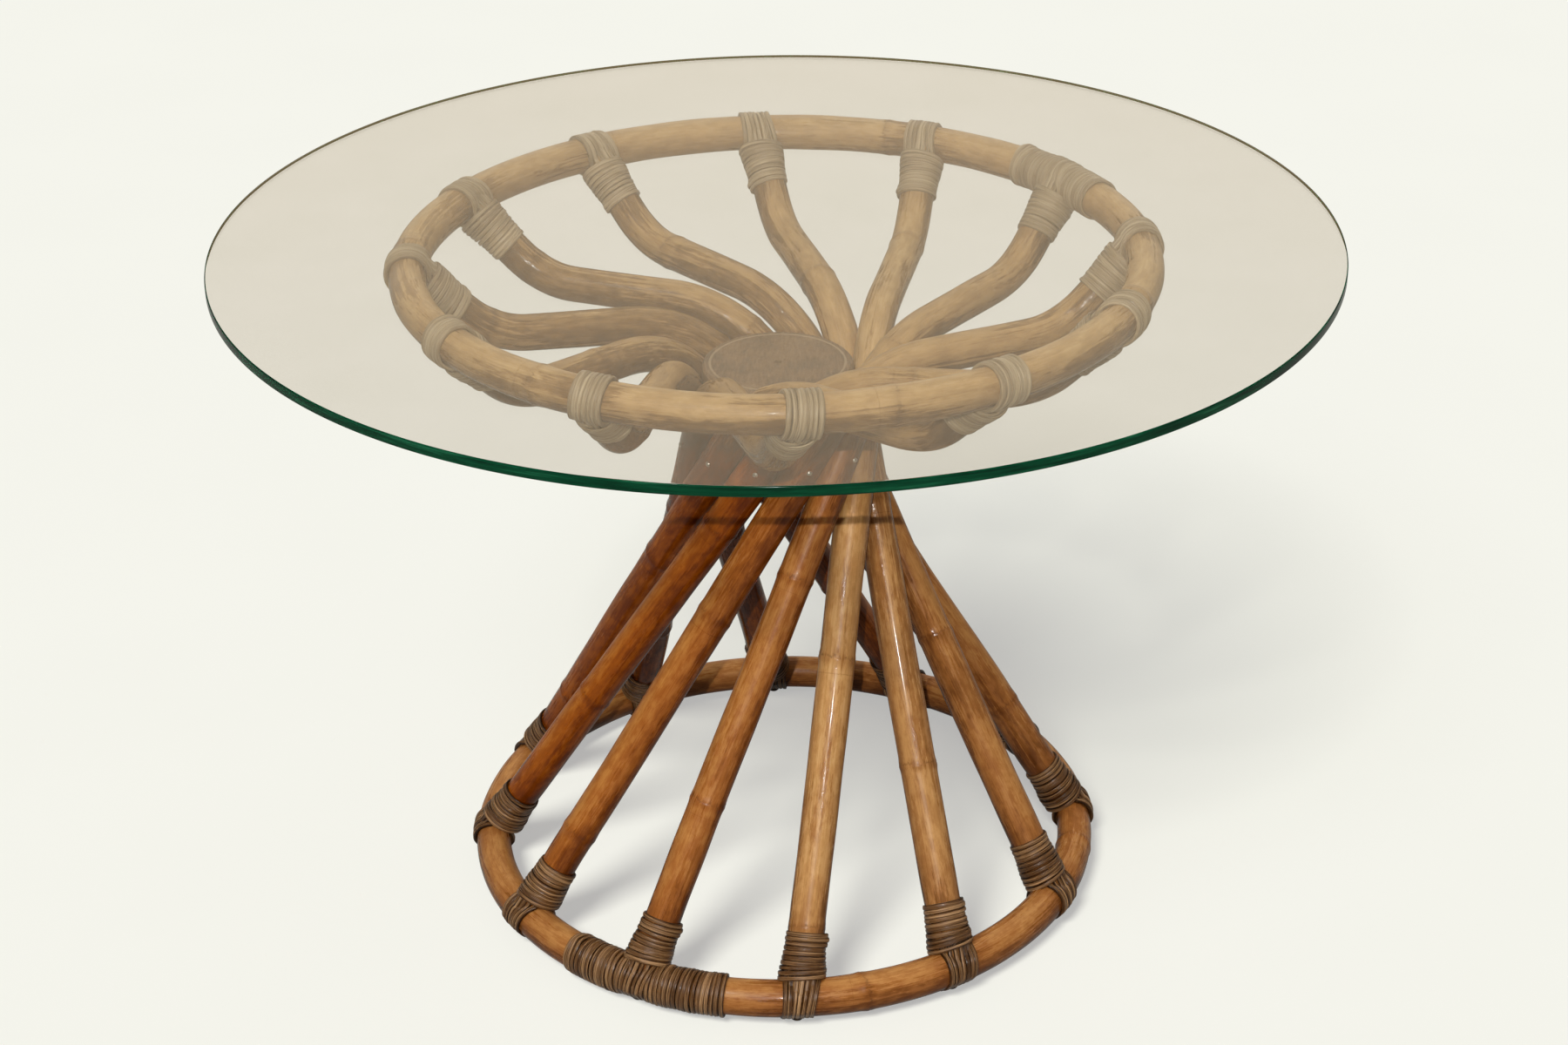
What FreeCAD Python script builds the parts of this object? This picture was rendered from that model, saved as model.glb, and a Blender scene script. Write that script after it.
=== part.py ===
import FreeCAD, Part

import math
import os

import Sketcher
from FreeCAD import Placement, Rotation, Vector

# Round glass table on a twisted pedestal of bent canes, in millimetres.
# The origin is on the floor under the middle of the table, +Z is up and -Y is the front.

UP = Vector(0, 0, 1)

DRIVING_SIZES = {
    # Glass
    "glass_diameter": 1100,
    "glass_thickness": 10,
    "glass_arris": 1.2,
    "glass_seat_gap": 0.3,
    "table_height": 715,
    # Hoops, measured to the middle of the pole that each is bent from
    "upper_hoop_radius": 360,
    "base_hoop_radius": 316,
    "hoop_diameter": 37,
    "scarf_length": 120,
    "scarf_kerf": 0.3,
    # Canes, each bent in one upright plane that passes beside the hub
    "cane_count": 12,
    "cane_diameter": 36.6,
    "cane_gap": 0.6,
    "first_joint_angle": -86.5,
    "waist_height": 493,
    "waist_straight": 42,
    "shoulder_rise": 95,
    "shoulder_bend": 140,
    "elbow_inset": 80,
    "elbow_drop": 80,
    "elbow_bend": 95,
    "cope_gap": 0.2,
    # Hub block inside the waist
    "hub_gap": 0.3,
    "hub_drop": 40,
    "hub_rise": 76,
    "hub_flange_diameter": 152,
    "hub_flange_thickness": 14,
    "hub_cove_height": 20,
    "hub_chamfer": 2.5,
    "hub_centre_hole": 8,
    "hub_centre_depth": 20,
    # Binding strips
    "strip_diameter": 4,
    "strip_gap": 0.6,
    "strip_seat": 0.15,
    "sling_room": 0.4,
    "sling_strands": 6,
    "sling_bend": 10,
    "wrap_turns": 9,
    "base_splice_turns_left": 12,
    "base_splice_turns_right": 15,
    "upper_splice_turns_left": 9,
    "upper_splice_turns_right": 9,
    # Fasteners
    "hub_nail_head": 5.6,
    "hub_nail_dome": 1.6,
    "hub_nail_shank": 2.6,
    "hub_nail_length": 60,
    "glide_head": 13,
    "glide_height": 3.5,
    "glide_shank": 3,
    "glide_length": 14,
    "screw_shank": 4.5,
    "screw_head": 8,
    "screw_bite": 40,
    "screw_sink": 0.5,
}

doc = FreeCAD.newDocument("cane_table")
sheet = doc.addObject("Spreadsheet::Sheet", "sizes")
sub_parts = []


def fill_sheet(values, first_row):
    """Writes one named value to a row."""
    for row, (alias, number) in enumerate(values.items(), first_row):
        sheet.set(f"A{row}", alias)
        sheet.set(f"B{row}", str(number))
        sheet.setAlias(f"B{row}", alias)
    doc.recompute()


def size(alias):
    return float(sheet.get(alias))


def bind(thing, **formulas):
    """Ties properties of a document object to the sheet; a dot in a path is written as two underscores."""
    for path, formula in formulas.items():
        thing.setExpression(path.replace("__", "."), formula)


def worked_out_sizes():
    """Heights and reaches that follow from the driving sizes."""
    cane_radius = size("cane_diameter") / 2
    hoop_radius = size("hoop_diameter") / 2
    half_step = math.pi / size("cane_count")
    sling_radius = max(hoop_radius, cane_radius) + size("sling_room") + size("strip_diameter") / 2
    sling_outside = sling_radius + size("strip_diameter") / 2

    base_height = size("glide_height") + sling_outside
    glass_under = size("table_height") - size("glass_thickness")
    upper_height = glass_under - size("glass_seat_gap") - sling_outside

    # Neighbouring canes cross beside the hub with the named gap between them.
    climb = size("waist_height") - base_height
    spacing = size("cane_diameter") + size("cane_gap")
    level = size("base_hoop_radius") * math.cos(half_step)
    waist_offset = spacing * math.sqrt(
        (climb**2 + level**2)
        / ((2 * climb * math.sin(half_step)) ** 2 + (spacing * math.cos(half_step)) ** 2)
    )
    base_reach = math.sqrt(size("base_hoop_radius") ** 2 - waist_offset**2)
    upper_reach = math.sqrt(size("upper_hoop_radius") ** 2 - waist_offset**2)
    base_turn = math.degrees(math.acos(waist_offset / size("base_hoop_radius")))
    return {
        "base_hoop_height": base_height,
        "upper_hoop_height": upper_height,
        "glass_under_height": glass_under,
        "sling_radius": sling_radius,
        "waist_offset": waist_offset,
        "base_reach": base_reach,
        "upper_reach": upper_reach,
        "first_cane_angle": size("first_joint_angle") + base_turn,
        "hub_core_radius": waist_offset - cane_radius - size("hub_gap"),
        "hub_bottom": size("waist_height") - size("hub_drop"),
        "hub_top": size("waist_height") + size("hub_rise"),
    }


def cane_angles():
    step = 360 / int(size("cane_count"))
    return [size("first_cane_angle") + index * step for index in range(int(size("cane_count")))]


def turned(shape, angle):
    """Copy of a shape turned about the table's upright axis."""
    copy = shape.copy()
    copy.rotate(Vector(), UP, angle)
    return copy


def keep(thing, label):
    thing.Label = label
    sub_parts.append(thing)
    return thing


def origin_plane(body, role):
    return next(plane for plane in body.Origin.OriginFeatures if plane.Role == role)


def sketch_on(body, role, name):
    sketch = body.newObject("Sketcher::SketchObject", name)
    sketch.AttachmentSupport = [(origin_plane(body, role), "")]
    sketch.MapMode = "FlatFace"
    return sketch


def outline_sketch(body, name, corners):
    """Closed outline in the XZ plane; every corner is held by two dimensions tied to the sheet."""
    sketch = sketch_on(body, "XZ_Plane", name)
    count = len(corners)
    points = [Vector(sheet.evalExpression(across), sheet.evalExpression(up), 0) for across, up in corners]
    for index, point in enumerate(points):
        sketch.addGeometry(Part.LineSegment(point, points[(index + 1) % count]), False)
    for index in range(count):
        sketch.addConstraint(Sketcher.Constraint("Coincident", index, 2, (index + 1) % count, 1))
    for index, (point, (across, up)) in enumerate(zip(points, corners)):
        for kind, value, formula in (("DistanceX", point.x, across), ("DistanceY", point.y, up)):
            held = sketch.addConstraint(Sketcher.Constraint(kind, -1, 1, index, 1, value))
            sketch.setExpression(f"Constraints[{held}]", formula)
    return sketch


def circle_sketch(body, role, name, centre, diameter):
    """Circle whose place and diameter are tied to the sheet."""
    sketch = sketch_on(body, role, name)
    across, up = (sheet.evalExpression(formula) for formula in centre)
    radius = sheet.evalExpression(diameter) / 2
    sketch.addGeometry(Part.Circle(Vector(across, up, 0), UP, radius), False)
    dimensions = (
        (Sketcher.Constraint("DistanceX", -1, 1, 0, 3, across), centre[0]),
        (Sketcher.Constraint("DistanceY", -1, 1, 0, 3, up), centre[1]),
        (Sketcher.Constraint("Diameter", 0, 2 * radius), diameter),
    )
    for constraint, formula in dimensions:
        held = sketch.addConstraint(constraint)
        sketch.setExpression(f"Constraints[{held}]", formula)
    return sketch


def bent_wire(corners, bends):
    """Straight runs between corner points, with a tangent arc of the given radius at each inner corner."""
    edges = []
    start = corners[0]
    for index, radius in enumerate(bends, 1):
        incoming = (corners[index] - corners[index - 1]).normalize()
        outgoing = (corners[index + 1] - corners[index]).normalize()
        half_turn = incoming.getAngle(outgoing) / 2
        setback = radius * math.tan(half_turn)
        first = corners[index] - incoming * setback
        last = corners[index] + outgoing * setback
        inward = (outgoing - incoming).normalize()
        middle = corners[index] + inward * (radius / math.cos(half_turn) - radius)
        edges.append(Part.LineSegment(start, first).toShape())
        edges.append(Part.Arc(first, middle, last).toShape())
        start = last
    edges.append(Part.LineSegment(start, corners[-1]).toShape())
    return Part.Wire(edges)


def arc_between(first, corner, last):
    """Arc that leaves the first point towards the corner and reaches the last point from it."""
    chord_middle = (first + last) * 0.5
    rise = corner - chord_middle
    side = (corner - first).Length
    half_chord = (last - first).Length / 2
    half_turn = math.acos(min(1.0, half_chord / side))
    sagitta = half_chord * math.tan(half_turn / 2)
    return Part.Arc(first, chord_middle + rise.normalize() * sagitta, last).toShape()


def biarcs(points, directions):
    """Two tangent arcs from each point to the next, leaving and arriving in the given directions."""
    edges = []
    for first, last, leave, arrive in zip(points, points[1:], directions, directions[1:]):
        span = last - first
        bend = 2 * (1 - leave.dot(arrive))
        along = span.dot(leave + arrive)
        reach = (math.sqrt(along**2 + bend * span.dot(span)) - along) / bend
        corners = (first + leave * reach, last - arrive * reach)
        joint = (corners[0] + corners[1]) * 0.5
        edges.append(arc_between(first, corners[0], joint))
        edges.append(arc_between(joint, corners[1], last))
    return edges


def tube(edges, diameter):
    """Solid round tube along tangent edges."""
    wire = Part.Wire(edges)
    begin = wire.OrderedEdges[0]
    start = begin.valueAt(begin.FirstParameter)
    heading = begin.tangentAt(begin.FirstParameter)
    section = Part.Wire(Part.makeCircle(diameter / 2, start, heading))
    return wire.makePipeShell([section], True, False)


def least_gap(edges, diameter, turn_length):
    """Smallest space between stretches of a winding that lie more than half a turn apart."""
    samples_per_edge = 8
    marks = []
    travelled = 0
    for edge in edges:
        for point in edge.discretize(samples_per_edge)[:-1]:
            marks.append((travelled, point))
            travelled += edge.Length / (samples_per_edge - 1)
    return min(
        (point - other).Length
        for place, point in marks
        for other_place, other in marks
        if other_place - place > turn_length / 2
    ) - diameter


def winding(place, turns, radius, label):
    """One unbroken tube wound for whole turns; place(turn) gives its point and heading there."""
    diameter = size("strip_diameter")
    stations = [place(half / 2) for half in range(2 * turns + 1)]
    points = [point for point, heading in stations]
    headings = [heading for point, heading in stations]
    lead_in = Part.LineSegment(points[0] - headings[0] * diameter, points[0]).toShape()
    lead_out = Part.LineSegment(points[-1], points[-1] + headings[-1] * diameter).toShape()
    edges = [lead_in] + biarcs(points, headings) + [lead_out]
    gap = least_gap(edges, diameter, 2 * math.pi * radius)
    print(f"{label}: {turns} turns, least gap to itself {gap:.2f} mm")
    return tube(edges, diameter)


def strip_pitch():
    return size("strip_diameter") + size("strip_gap")


class Joint:
    """Where the reference cane meets a hoop: its middle, the way into the cane and the way along the hoop."""

    def __init__(self, name, hoop_radius, middle, into_cane):
        self.name = name
        self.hoop_radius = hoop_radius
        self.middle = middle
        self.into_cane = into_cane
        self.angle = math.atan2(middle.y, middle.x)
        self.along_hoop = Vector(-math.sin(self.angle), math.cos(self.angle), 0)
        self.across = self.along_hoop.cross(into_cane).normalize()
        self.aside = into_cane.cross(self.across)

    def hoop_point(self, distance):
        angle = self.angle + distance / self.hoop_radius
        return Vector(
            self.hoop_radius * math.cos(angle), self.hoop_radius * math.sin(angle), self.middle.z
        )

    def lean(self):
        """Angle between the cane and the hoop."""
        return self.into_cane.getAngle(self.along_hoop)

    def under_strands(self):
        """Middle of the hoop above the place where the sling's middle gap is lowest."""
        steepness = self.into_cane.z / math.hypot(self.into_cane.z, self.across.z)
        drift = size("sling_radius") * steepness * self.into_cane.dot(self.along_hoop)
        return self.hoop_point(-drift)

    def wrap_start(self):
        """Distance up the cane at which a turn round it clears the turns round the hoop."""
        strip = size("strip_diameter")
        over_hoop = (size("sling_radius") + strip / 2) / math.sin(self.lean())
        beside = (size("cane_diameter") / 2 + strip) / abs(math.tan(self.lean()))
        return over_hoop + beside + strip / 2 + size("strip_seat")

    def wrap_end(self):
        """Distance up the cane at which its wrap is over."""
        return self.wrap_start() + int(size("wrap_turns")) * strip_pitch() + size("strip_diameter")

    def splice_start(self):
        """Distance along the hoop at which a turn round it clears the leaning cane."""
        strip = size("strip_diameter")
        drift = (size("sling_radius") + strip / 2) * abs(math.cos(self.lean()))
        return (size("cane_diameter") / 2 + drift) / math.sin(self.lean()) + strip / 2 + size("strip_gap")


def cane_corners():
    offset = size("waist_offset")
    slope = (size("waist_height") - size("base_hoop_height")) / size("base_reach")
    return [
        Vector(offset, -size("base_reach"), size("base_hoop_height")),
        Vector(offset, size("shoulder_rise") / slope, size("waist_height") + size("shoulder_rise")),
        Vector(
            offset,
            size("upper_reach") - size("elbow_inset"),
            size("upper_hoop_height") - size("elbow_drop"),
        ),
        Vector(offset, size("upper_reach"), size("upper_hoop_height")),
    ]


def cane_route(corners, wrapped_end):
    """Middle line of the reference cane; a bend takes no more than the waist and the wrapped end leave it."""
    waist = Vector(size("waist_offset"), 0, size("waist_height"))
    shoulder_room = (corners[1] - waist).Length - size("waist_straight")
    elbow_room = (corners[3] - corners[2]).Length - wrapped_end
    bends = []
    for index, alias, room in ((1, "shoulder_bend", shoulder_room), (2, "elbow_bend", elbow_room)):
        turn = (corners[index] - corners[index - 1]).getAngle(corners[index + 1] - corners[index])
        bends.append(min(size(alias), room / math.tan(turn / 2)))
    return bent_wire(corners, bends)


def strand_side(joint, middle, side):
    """Half of one strand: down along the cane, a bend, then round the hoop to its far side."""
    strip = size("strip_diameter")
    round_hoop = size("sling_radius")
    bend = size("sling_bend")
    from_axis = size("cane_diameter") / 2 + size("strip_seat") + strip / 2
    to_axis = joint.middle - middle
    beside = math.sqrt(from_axis**2 - to_axis.dot(joint.aside) ** 2)
    tail = min(round_hoop, beside + side * to_axis.dot(joint.across))
    tail_end = joint.wrap_start() - strip / 2 - size("strip_seat")
    swing = math.acos((tail + bend) / (round_hoop + bend))

    def place(across, along):
        return middle + joint.across * (side * across) + joint.into_cane * along

    def on_bend(angle):
        pivot = round_hoop + bend
        return place(
            pivot * math.cos(swing) - bend * math.cos(angle), pivot * math.sin(swing) - bend * math.sin(angle)
        )

    def on_hoop(angle):
        return place(round_hoop * math.cos(angle), round_hoop * math.sin(angle))

    far = -math.pi / 2
    return [
        Part.LineSegment(place(tail, tail_end), on_bend(0)).toShape(),
        Part.Arc(on_bend(0), on_bend(swing / 2), on_bend(swing)).toShape(),
        Part.Arc(on_hoop(swing), on_hoop((swing + far) / 2), on_hoop(far)).toShape(),
    ]


def sling(joint):
    """Strands that run down one side of the cane, round the hoop and up the other side."""
    strip = size("strip_diameter")
    nail_way = size("glide_shank") + size("strip_gap")
    strands = []
    for number in range(int(size("sling_strands")) // 2):
        distance = nail_way / 2 + strip / 2 + number * strip_pitch()
        for middle in (joint.hoop_point(distance), joint.hoop_point(-distance)):
            there = strand_side(joint, middle, 1)
            back = strand_side(joint, middle, -1)
            strands.append(tube(there + back[::-1], strip))
    return strands


def cane_wrap(joint):
    """Turns round the straight end of the cane, over the ends of the sling."""
    radius = size("cane_diameter") / 2 + size("strip_seat") + size("strip_diameter") / 2
    pitch = strip_pitch()
    start = joint.wrap_start()

    def place(turn):
        angle = 2 * math.pi * turn
        outward = joint.across * math.cos(angle) + joint.aside * math.sin(angle)
        onward = joint.aside * math.cos(angle) - joint.across * math.sin(angle)
        point = joint.middle + joint.into_cane * (start + pitch * turn) + outward * radius
        heading = onward * (2 * math.pi * radius) + joint.into_cane * pitch
        return point, heading.normalize()

    return winding(place, int(size("wrap_turns")), radius, f"{joint.name} cane wrap")


def splice_wrap(joint, side, turns):
    """Turns round the hoop beside the joint, over the hoop's scarf."""
    radius = size("hoop_diameter") / 2 + size("strip_seat") + size("strip_diameter") / 2
    inside_share = (joint.hoop_radius - radius) / joint.hoop_radius
    pitch = strip_pitch() / inside_share
    start = joint.splice_start()

    def place(turn):
        angle = 2 * math.pi * turn
        travel = side * (start + pitch * turn)
        bearing = joint.angle + travel / joint.hoop_radius
        out = Vector(math.cos(bearing), math.sin(bearing), 0)
        along = Vector(-math.sin(bearing), math.cos(bearing), 0)
        point = out * (joint.hoop_radius + radius * math.cos(angle)) + UP * (
            joint.middle.z + radius * math.sin(angle)
        )
        rolling = (UP * math.cos(angle) - out * math.sin(angle)) * (2 * math.pi * radius)
        return point, (rolling + along * (side * pitch)).normalize()

    label = f"{joint.name} splice wrap, {'left' if side < 0 else 'right'}"
    return winding(place, turns, radius, label)


def domed_nail(head, dome, shank, length):
    """Nail along Z whose head stands on the origin's plane and whose shank goes down from it."""
    radius = head / 2
    ball = (radius**2 + dome**2) / (2 * dome)
    cap = Part.makeSphere(ball, Vector(0, 0, dome - ball))
    plate = Part.makeCylinder(radius + dome, dome, Vector())
    return cap.common(plate).fuse(Part.makeCylinder(shank / 2, length, Vector(), -UP)).removeSplitter()


def pointing(shape, place, direction):
    """Copy of a shape made along +Z, moved to a place and turned to a direction."""
    copy = shape.copy()
    copy.Placement = Placement(place, Rotation(UP, direction))
    return copy


def reference_hub_nail():
    nail = domed_nail(
        size("hub_nail_head"), size("hub_nail_dome"), size("hub_nail_shank"), size("hub_nail_length")
    )
    outside = size("waist_offset") + size("cane_diameter") / 2
    return pointing(nail, Vector(outside, 0, size("waist_height")), Vector(1, 0, 0))


def reference_glide(joint):
    nail = domed_nail(size("glide_head"), size("glide_height"), size("glide_shank"), size("glide_length"))
    above = joint.under_strands()
    return pointing(nail, Vector(above.x, above.y, size("glide_height")), -UP)


def reference_screw(joint):
    """Countersunk screw through the hoop into the cane's end."""
    head = size("screw_head") / 2
    shank = size("screw_shank") / 2
    hoop = size("hoop_diameter") / 2
    behind = math.sqrt(hoop**2 - head**2) - size("screw_sink")
    cone = Part.makeCone(head, shank, head - shank, Vector())
    stem = Part.makeCylinder(shank, behind + hoop + size("screw_bite"), Vector())
    screw = cone.fuse(stem).removeSplitter()
    return pointing(screw, joint.middle - joint.into_cane * behind, joint.into_cane)


def add_group(label, shapes):
    group = doc.addObject("Part::Feature", label)
    group.Shape = Part.makeCompound(shapes)
    return keep(group, label)


def add_cut(name, base, tool):
    cut = doc.addObject("Part::Cut", name)
    cut.Base = base
    cut.Tool = tool
    return cut


def glass_top():
    body = doc.addObject("PartDesign::Body", "glass_top")
    disc = circle_sketch(body, "XY_Plane", "glass_disc", ("0", "0"), "sizes.glass_diameter")
    pad = body.newObject("PartDesign::Pad", "glass_sheet")
    pad.Profile = disc
    bind(pad, Length="sizes.glass_thickness")
    doc.recompute()
    arris = body.newObject("PartDesign::Chamfer", "glass_edge")
    rims = [f"Edge{n}" for n, edge in enumerate(pad.Shape.Edges, 1) if isinstance(edge.Curve, Part.Circle)]
    arris.Base = (pad, rims)
    bind(arris, Size="sizes.glass_arris")
    bind(body, Placement__Base__z="sizes.glass_under_height")
    return keep(body, "glass_top")


def hoop(name, splice_angle, tool):
    """Pole bent into a hoop, its ends scarfed together, drilled for its fasteners."""
    body = doc.addObject("PartDesign::Body", f"{name}_pole")
    across, up = f"sizes.{name}_radius", f"sizes.{name}_height"
    section = circle_sketch(body, "XZ_Plane", f"{name}_section", (across, up), "sizes.hoop_diameter")
    bend = body.newObject("PartDesign::Revolution", f"{name}_bend")
    bend.Profile = section
    bend.ReferenceAxis = (section, ["V_Axis"])
    bend.Angle = 360
    kerf = doc.addObject("Part::Box", f"{name}_kerf")
    overrun = 2
    length = overrun * size("scarf_length")
    height = overrun * size("hoop_diameter")
    bind(
        kerf,
        Length=f"{overrun} * sizes.scarf_length",
        Width="sizes.scarf_kerf",
        Height=f"{overrun} * sizes.hoop_diameter",
    )
    slant = math.degrees(math.atan2(size("hoop_diameter"), size("scarf_length")))
    bearing = math.radians(splice_angle)
    radius = size(f"{name}_radius")
    middle = Vector(radius * math.cos(bearing), radius * math.sin(bearing), size(f"{name}_height"))
    turn = Rotation(UP, splice_angle + 90 + slant)
    corner = Vector(length / 2, size("scarf_kerf") / 2, height / 2)
    kerf.Placement = Placement(middle - turn.multVec(corner), turn)
    sawn = add_cut(f"{name}_sawn", body, kerf)
    return keep(add_cut(name, sawn, tool), name)


def hub(nails, route):
    """Turned block that the canes are nailed to, its wider flange notched wherever a cane would touch it."""
    body = doc.addObject("PartDesign::Body", "hub_block")
    core, flange = "sizes.hub_core_radius", "sizes.hub_flange_diameter / 2"
    bottom, top = "sizes.hub_bottom", "sizes.hub_top"
    under_flange = f"{top} - sizes.hub_flange_thickness"
    hole, depth = "sizes.hub_centre_hole / 2", f"{top} - sizes.hub_centre_depth"
    profile = outline_sketch(
        body,
        "hub_outline",
        [
            ("0", bottom),
            (core, bottom),
            (core, f"{under_flange} - sizes.hub_cove_height"),
            (flange, under_flange),
            (flange, f"{top} - sizes.hub_chamfer"),
            (f"{flange} - sizes.hub_chamfer", top),
            (hole, top),
            (hole, depth),
            ("0", depth),
        ],
    )
    block = body.newObject("PartDesign::Revolution", "hub_turning")
    block.Profile = profile
    block.ReferenceAxis = (profile, ["V_Axis"])
    block.Angle = 360
    notches = doc.addObject("Part::Feature", "hub_notches")
    clearance = tube(route.Edges, size("cane_diameter") + 2 * size("cope_gap"))
    notches.Shape = Part.makeCompound([turned(clearance, angle) for angle in cane_angles()])
    notched = add_cut("hub_notched", body, notches)
    return keep(add_cut("hub", notched, nails), "hub")


def canes(route_wire, joints, tools):
    """Canes bent alike, coped to both hoops and drilled for their nail and screws."""
    route = doc.addObject("Part::Feature", "cane_route")
    route.Shape = route_wire
    section = doc.addObject("Part::Circle", "cane_section")
    bind(section, Radius="sizes.cane_diameter / 2")
    section.Placement = Placement(joints["base"].middle, Rotation(UP, joints["base"].into_cane))
    doc.recompute()
    pole = doc.addObject("Part::Sweep", "cane_pole")
    pole.Sections = [section]
    pole.Spine = (route, [f"Edge{number}" for number in range(1, len(route.Shape.Edges) + 1)])
    pole.Solid = True
    cutters = []
    for name in joints:
        cope = doc.addObject("Part::Torus", f"{name}_cope")
        bind(
            cope,
            Radius1=f"sizes.{name}_hoop_radius",
            Radius2="sizes.hoop_diameter / 2 + sizes.cope_gap",
            Placement__Base__z=f"sizes.{name}_hoop_height",
        )
        cutters.append(cope)
    for name, shape in tools.items():
        cutter = doc.addObject("Part::Feature", f"cane_{name}")
        cutter.Shape = shape
        cutters.append(cutter)
    cutting = doc.addObject("Part::MultiFuse", "cane_cutting")
    cutting.Shapes = cutters
    for index, angle in enumerate(cane_angles(), 1):
        cane = add_cut(f"cane_{index:02d}", pole, cutting)
        cane.Placement = Placement(Vector(), Rotation(UP, angle))
        keep(cane, f"cane_{index:02d}")


def bindings(joint):
    """One sling and one wrap at every cane end on this hoop."""
    lashing = Part.makeCompound(sling(joint) + [cane_wrap(joint)])
    for index, angle in enumerate(cane_angles(), 1):
        binding = doc.addObject("Part::Feature", f"{joint.name}_binding_{index:02d}")
        binding.Shape = lashing
        binding.Placement = Placement(Vector(), Rotation(UP, angle))
        keep(binding, f"{joint.name}_binding_{index:02d}")


def splice(joint, angle):
    turns = {-1: f"{joint.name}_splice_turns_left", 1: f"{joint.name}_splice_turns_right"}
    wraps = [turned(splice_wrap(joint, side, int(size(alias))), angle) for side, alias in turns.items()]
    add_group(f"{joint.name}_splice_wrap", wraps)


def build():
    fill_sheet(DRIVING_SIZES, 1)
    fill_sheet(worked_out_sizes(), 2 + len(DRIVING_SIZES))
    corners = cane_corners()
    joints = {
        "base": Joint("base", size("base_hoop_radius"), corners[0], (corners[1] - corners[0]).normalize()),
        "upper": Joint("upper", size("upper_hoop_radius"), corners[3], (corners[2] - corners[3]).normalize()),
    }
    route = cane_route(corners, joints["upper"].wrap_end())
    angles = cane_angles()
    splice_turn = angles[-1]

    nail = reference_hub_nail()
    screws = {name: reference_screw(joint) for name, joint in joints.items()}
    glide = reference_glide(joints["base"])
    hub_nails = add_group("hub_nails", [turned(nail, angle) for angle in angles])
    glides = add_group("glide_nails", [turned(glide, angle) for angle in angles])
    screw_sets = {
        name: add_group(f"{name}_screws", [turned(screw, angle) for angle in angles])
        for name, screw in screws.items()
    }

    glass_top()
    hub(hub_nails, route)
    base_fasteners = doc.addObject("Part::MultiFuse", "base_fasteners")
    base_fasteners.Shapes = [screw_sets["base"], glides]
    splice_angles = {name: math.degrees(joint.angle) + splice_turn for name, joint in joints.items()}
    hoop("base_hoop", splice_angles["base"], base_fasteners)
    hoop("upper_hoop", splice_angles["upper"], screw_sets["upper"])
    canes(route, joints, {"hub_nail": nail, "base_screw": screws["base"], "upper_screw": screws["upper"]})
    for joint in joints.values():
        bindings(joint)
        splice(joint, splice_turn)
    doc.recompute()


def write_parts():
    for thing in doc.Objects:
        if "Invalid" in thing.State or "Error" in thing.State:
            raise RuntimeError(f"{thing.Name} failed: {thing.State}")
    for part in sub_parts:
        if part.Shape.isNull() or not part.Shape.isValid():
            raise RuntimeError(f"{part.Label} has no valid shape")
    os.makedirs("parts", exist_ok=True)
    for part in sub_parts:
        part.Shape.exportStep(f"parts/{part.Label}.step")
    print(f"wrote {len(sub_parts)} sub-parts")


build()
write_parts()
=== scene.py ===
import math

import bpy
import numpy as np
from mathutils import Matrix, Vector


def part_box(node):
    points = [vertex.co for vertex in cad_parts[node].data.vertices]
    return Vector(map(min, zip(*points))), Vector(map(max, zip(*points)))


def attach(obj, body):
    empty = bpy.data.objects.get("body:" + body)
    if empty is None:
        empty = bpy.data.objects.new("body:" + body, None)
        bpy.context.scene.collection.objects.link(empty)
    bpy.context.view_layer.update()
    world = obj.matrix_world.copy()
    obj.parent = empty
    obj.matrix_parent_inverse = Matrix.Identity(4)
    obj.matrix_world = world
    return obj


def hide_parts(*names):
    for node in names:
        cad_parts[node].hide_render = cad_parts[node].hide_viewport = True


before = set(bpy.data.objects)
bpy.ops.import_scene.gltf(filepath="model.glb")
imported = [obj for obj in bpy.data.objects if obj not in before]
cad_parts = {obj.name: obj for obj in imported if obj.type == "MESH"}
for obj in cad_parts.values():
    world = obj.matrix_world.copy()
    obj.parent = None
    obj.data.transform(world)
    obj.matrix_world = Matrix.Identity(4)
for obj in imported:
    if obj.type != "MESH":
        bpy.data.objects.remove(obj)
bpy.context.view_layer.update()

# Round glass table on a twisted cane pedestal, in metres.
# The reference cane lies in the upright plane x = WAIST_OFFSET, and every other cane is a turned copy.

MM = 0.001
UP = np.array((0.0, 0.0, 1.0))


def hoop_sizes(node):
    """Radius to the middle of the pole, height of that middle, and the pole's own radius."""
    low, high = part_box(node)
    pole = (high.z - low.z) / 2
    return (high.x - low.x) / 2 - pole, (high.z + low.z) / 2, pole


BASE_RADIUS, BASE_HEIGHT, HOOP_POLE = hoop_sizes("base_hoop")
UPPER_RADIUS, UPPER_HEIGHT, _ = hoop_sizes("upper_hoop")
GLASS_LOW, GLASS_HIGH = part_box("glass_top")

# Glass: gap under it, rounding of its edge, its points, and the lower share of the edge that casts shadow
GLASS_GAP = 0.1 * MM
GLASS_EASE = 1.2 * MM
GLASS_SEGMENTS = 512
GLASS_FACE_ROWS = (0.001, 0.5, 0.98)
GLASS_SHADOW_SHARE = 0.75

# Hub: a painted highlight, a pale line in its face where its rounded edge would catch the light, measured
# in from the rim
HUB_HIGHLIGHT_INSET = 8 * MM
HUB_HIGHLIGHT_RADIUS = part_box("hub")[1].x - HUB_HIGHLIGHT_INSET

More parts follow.
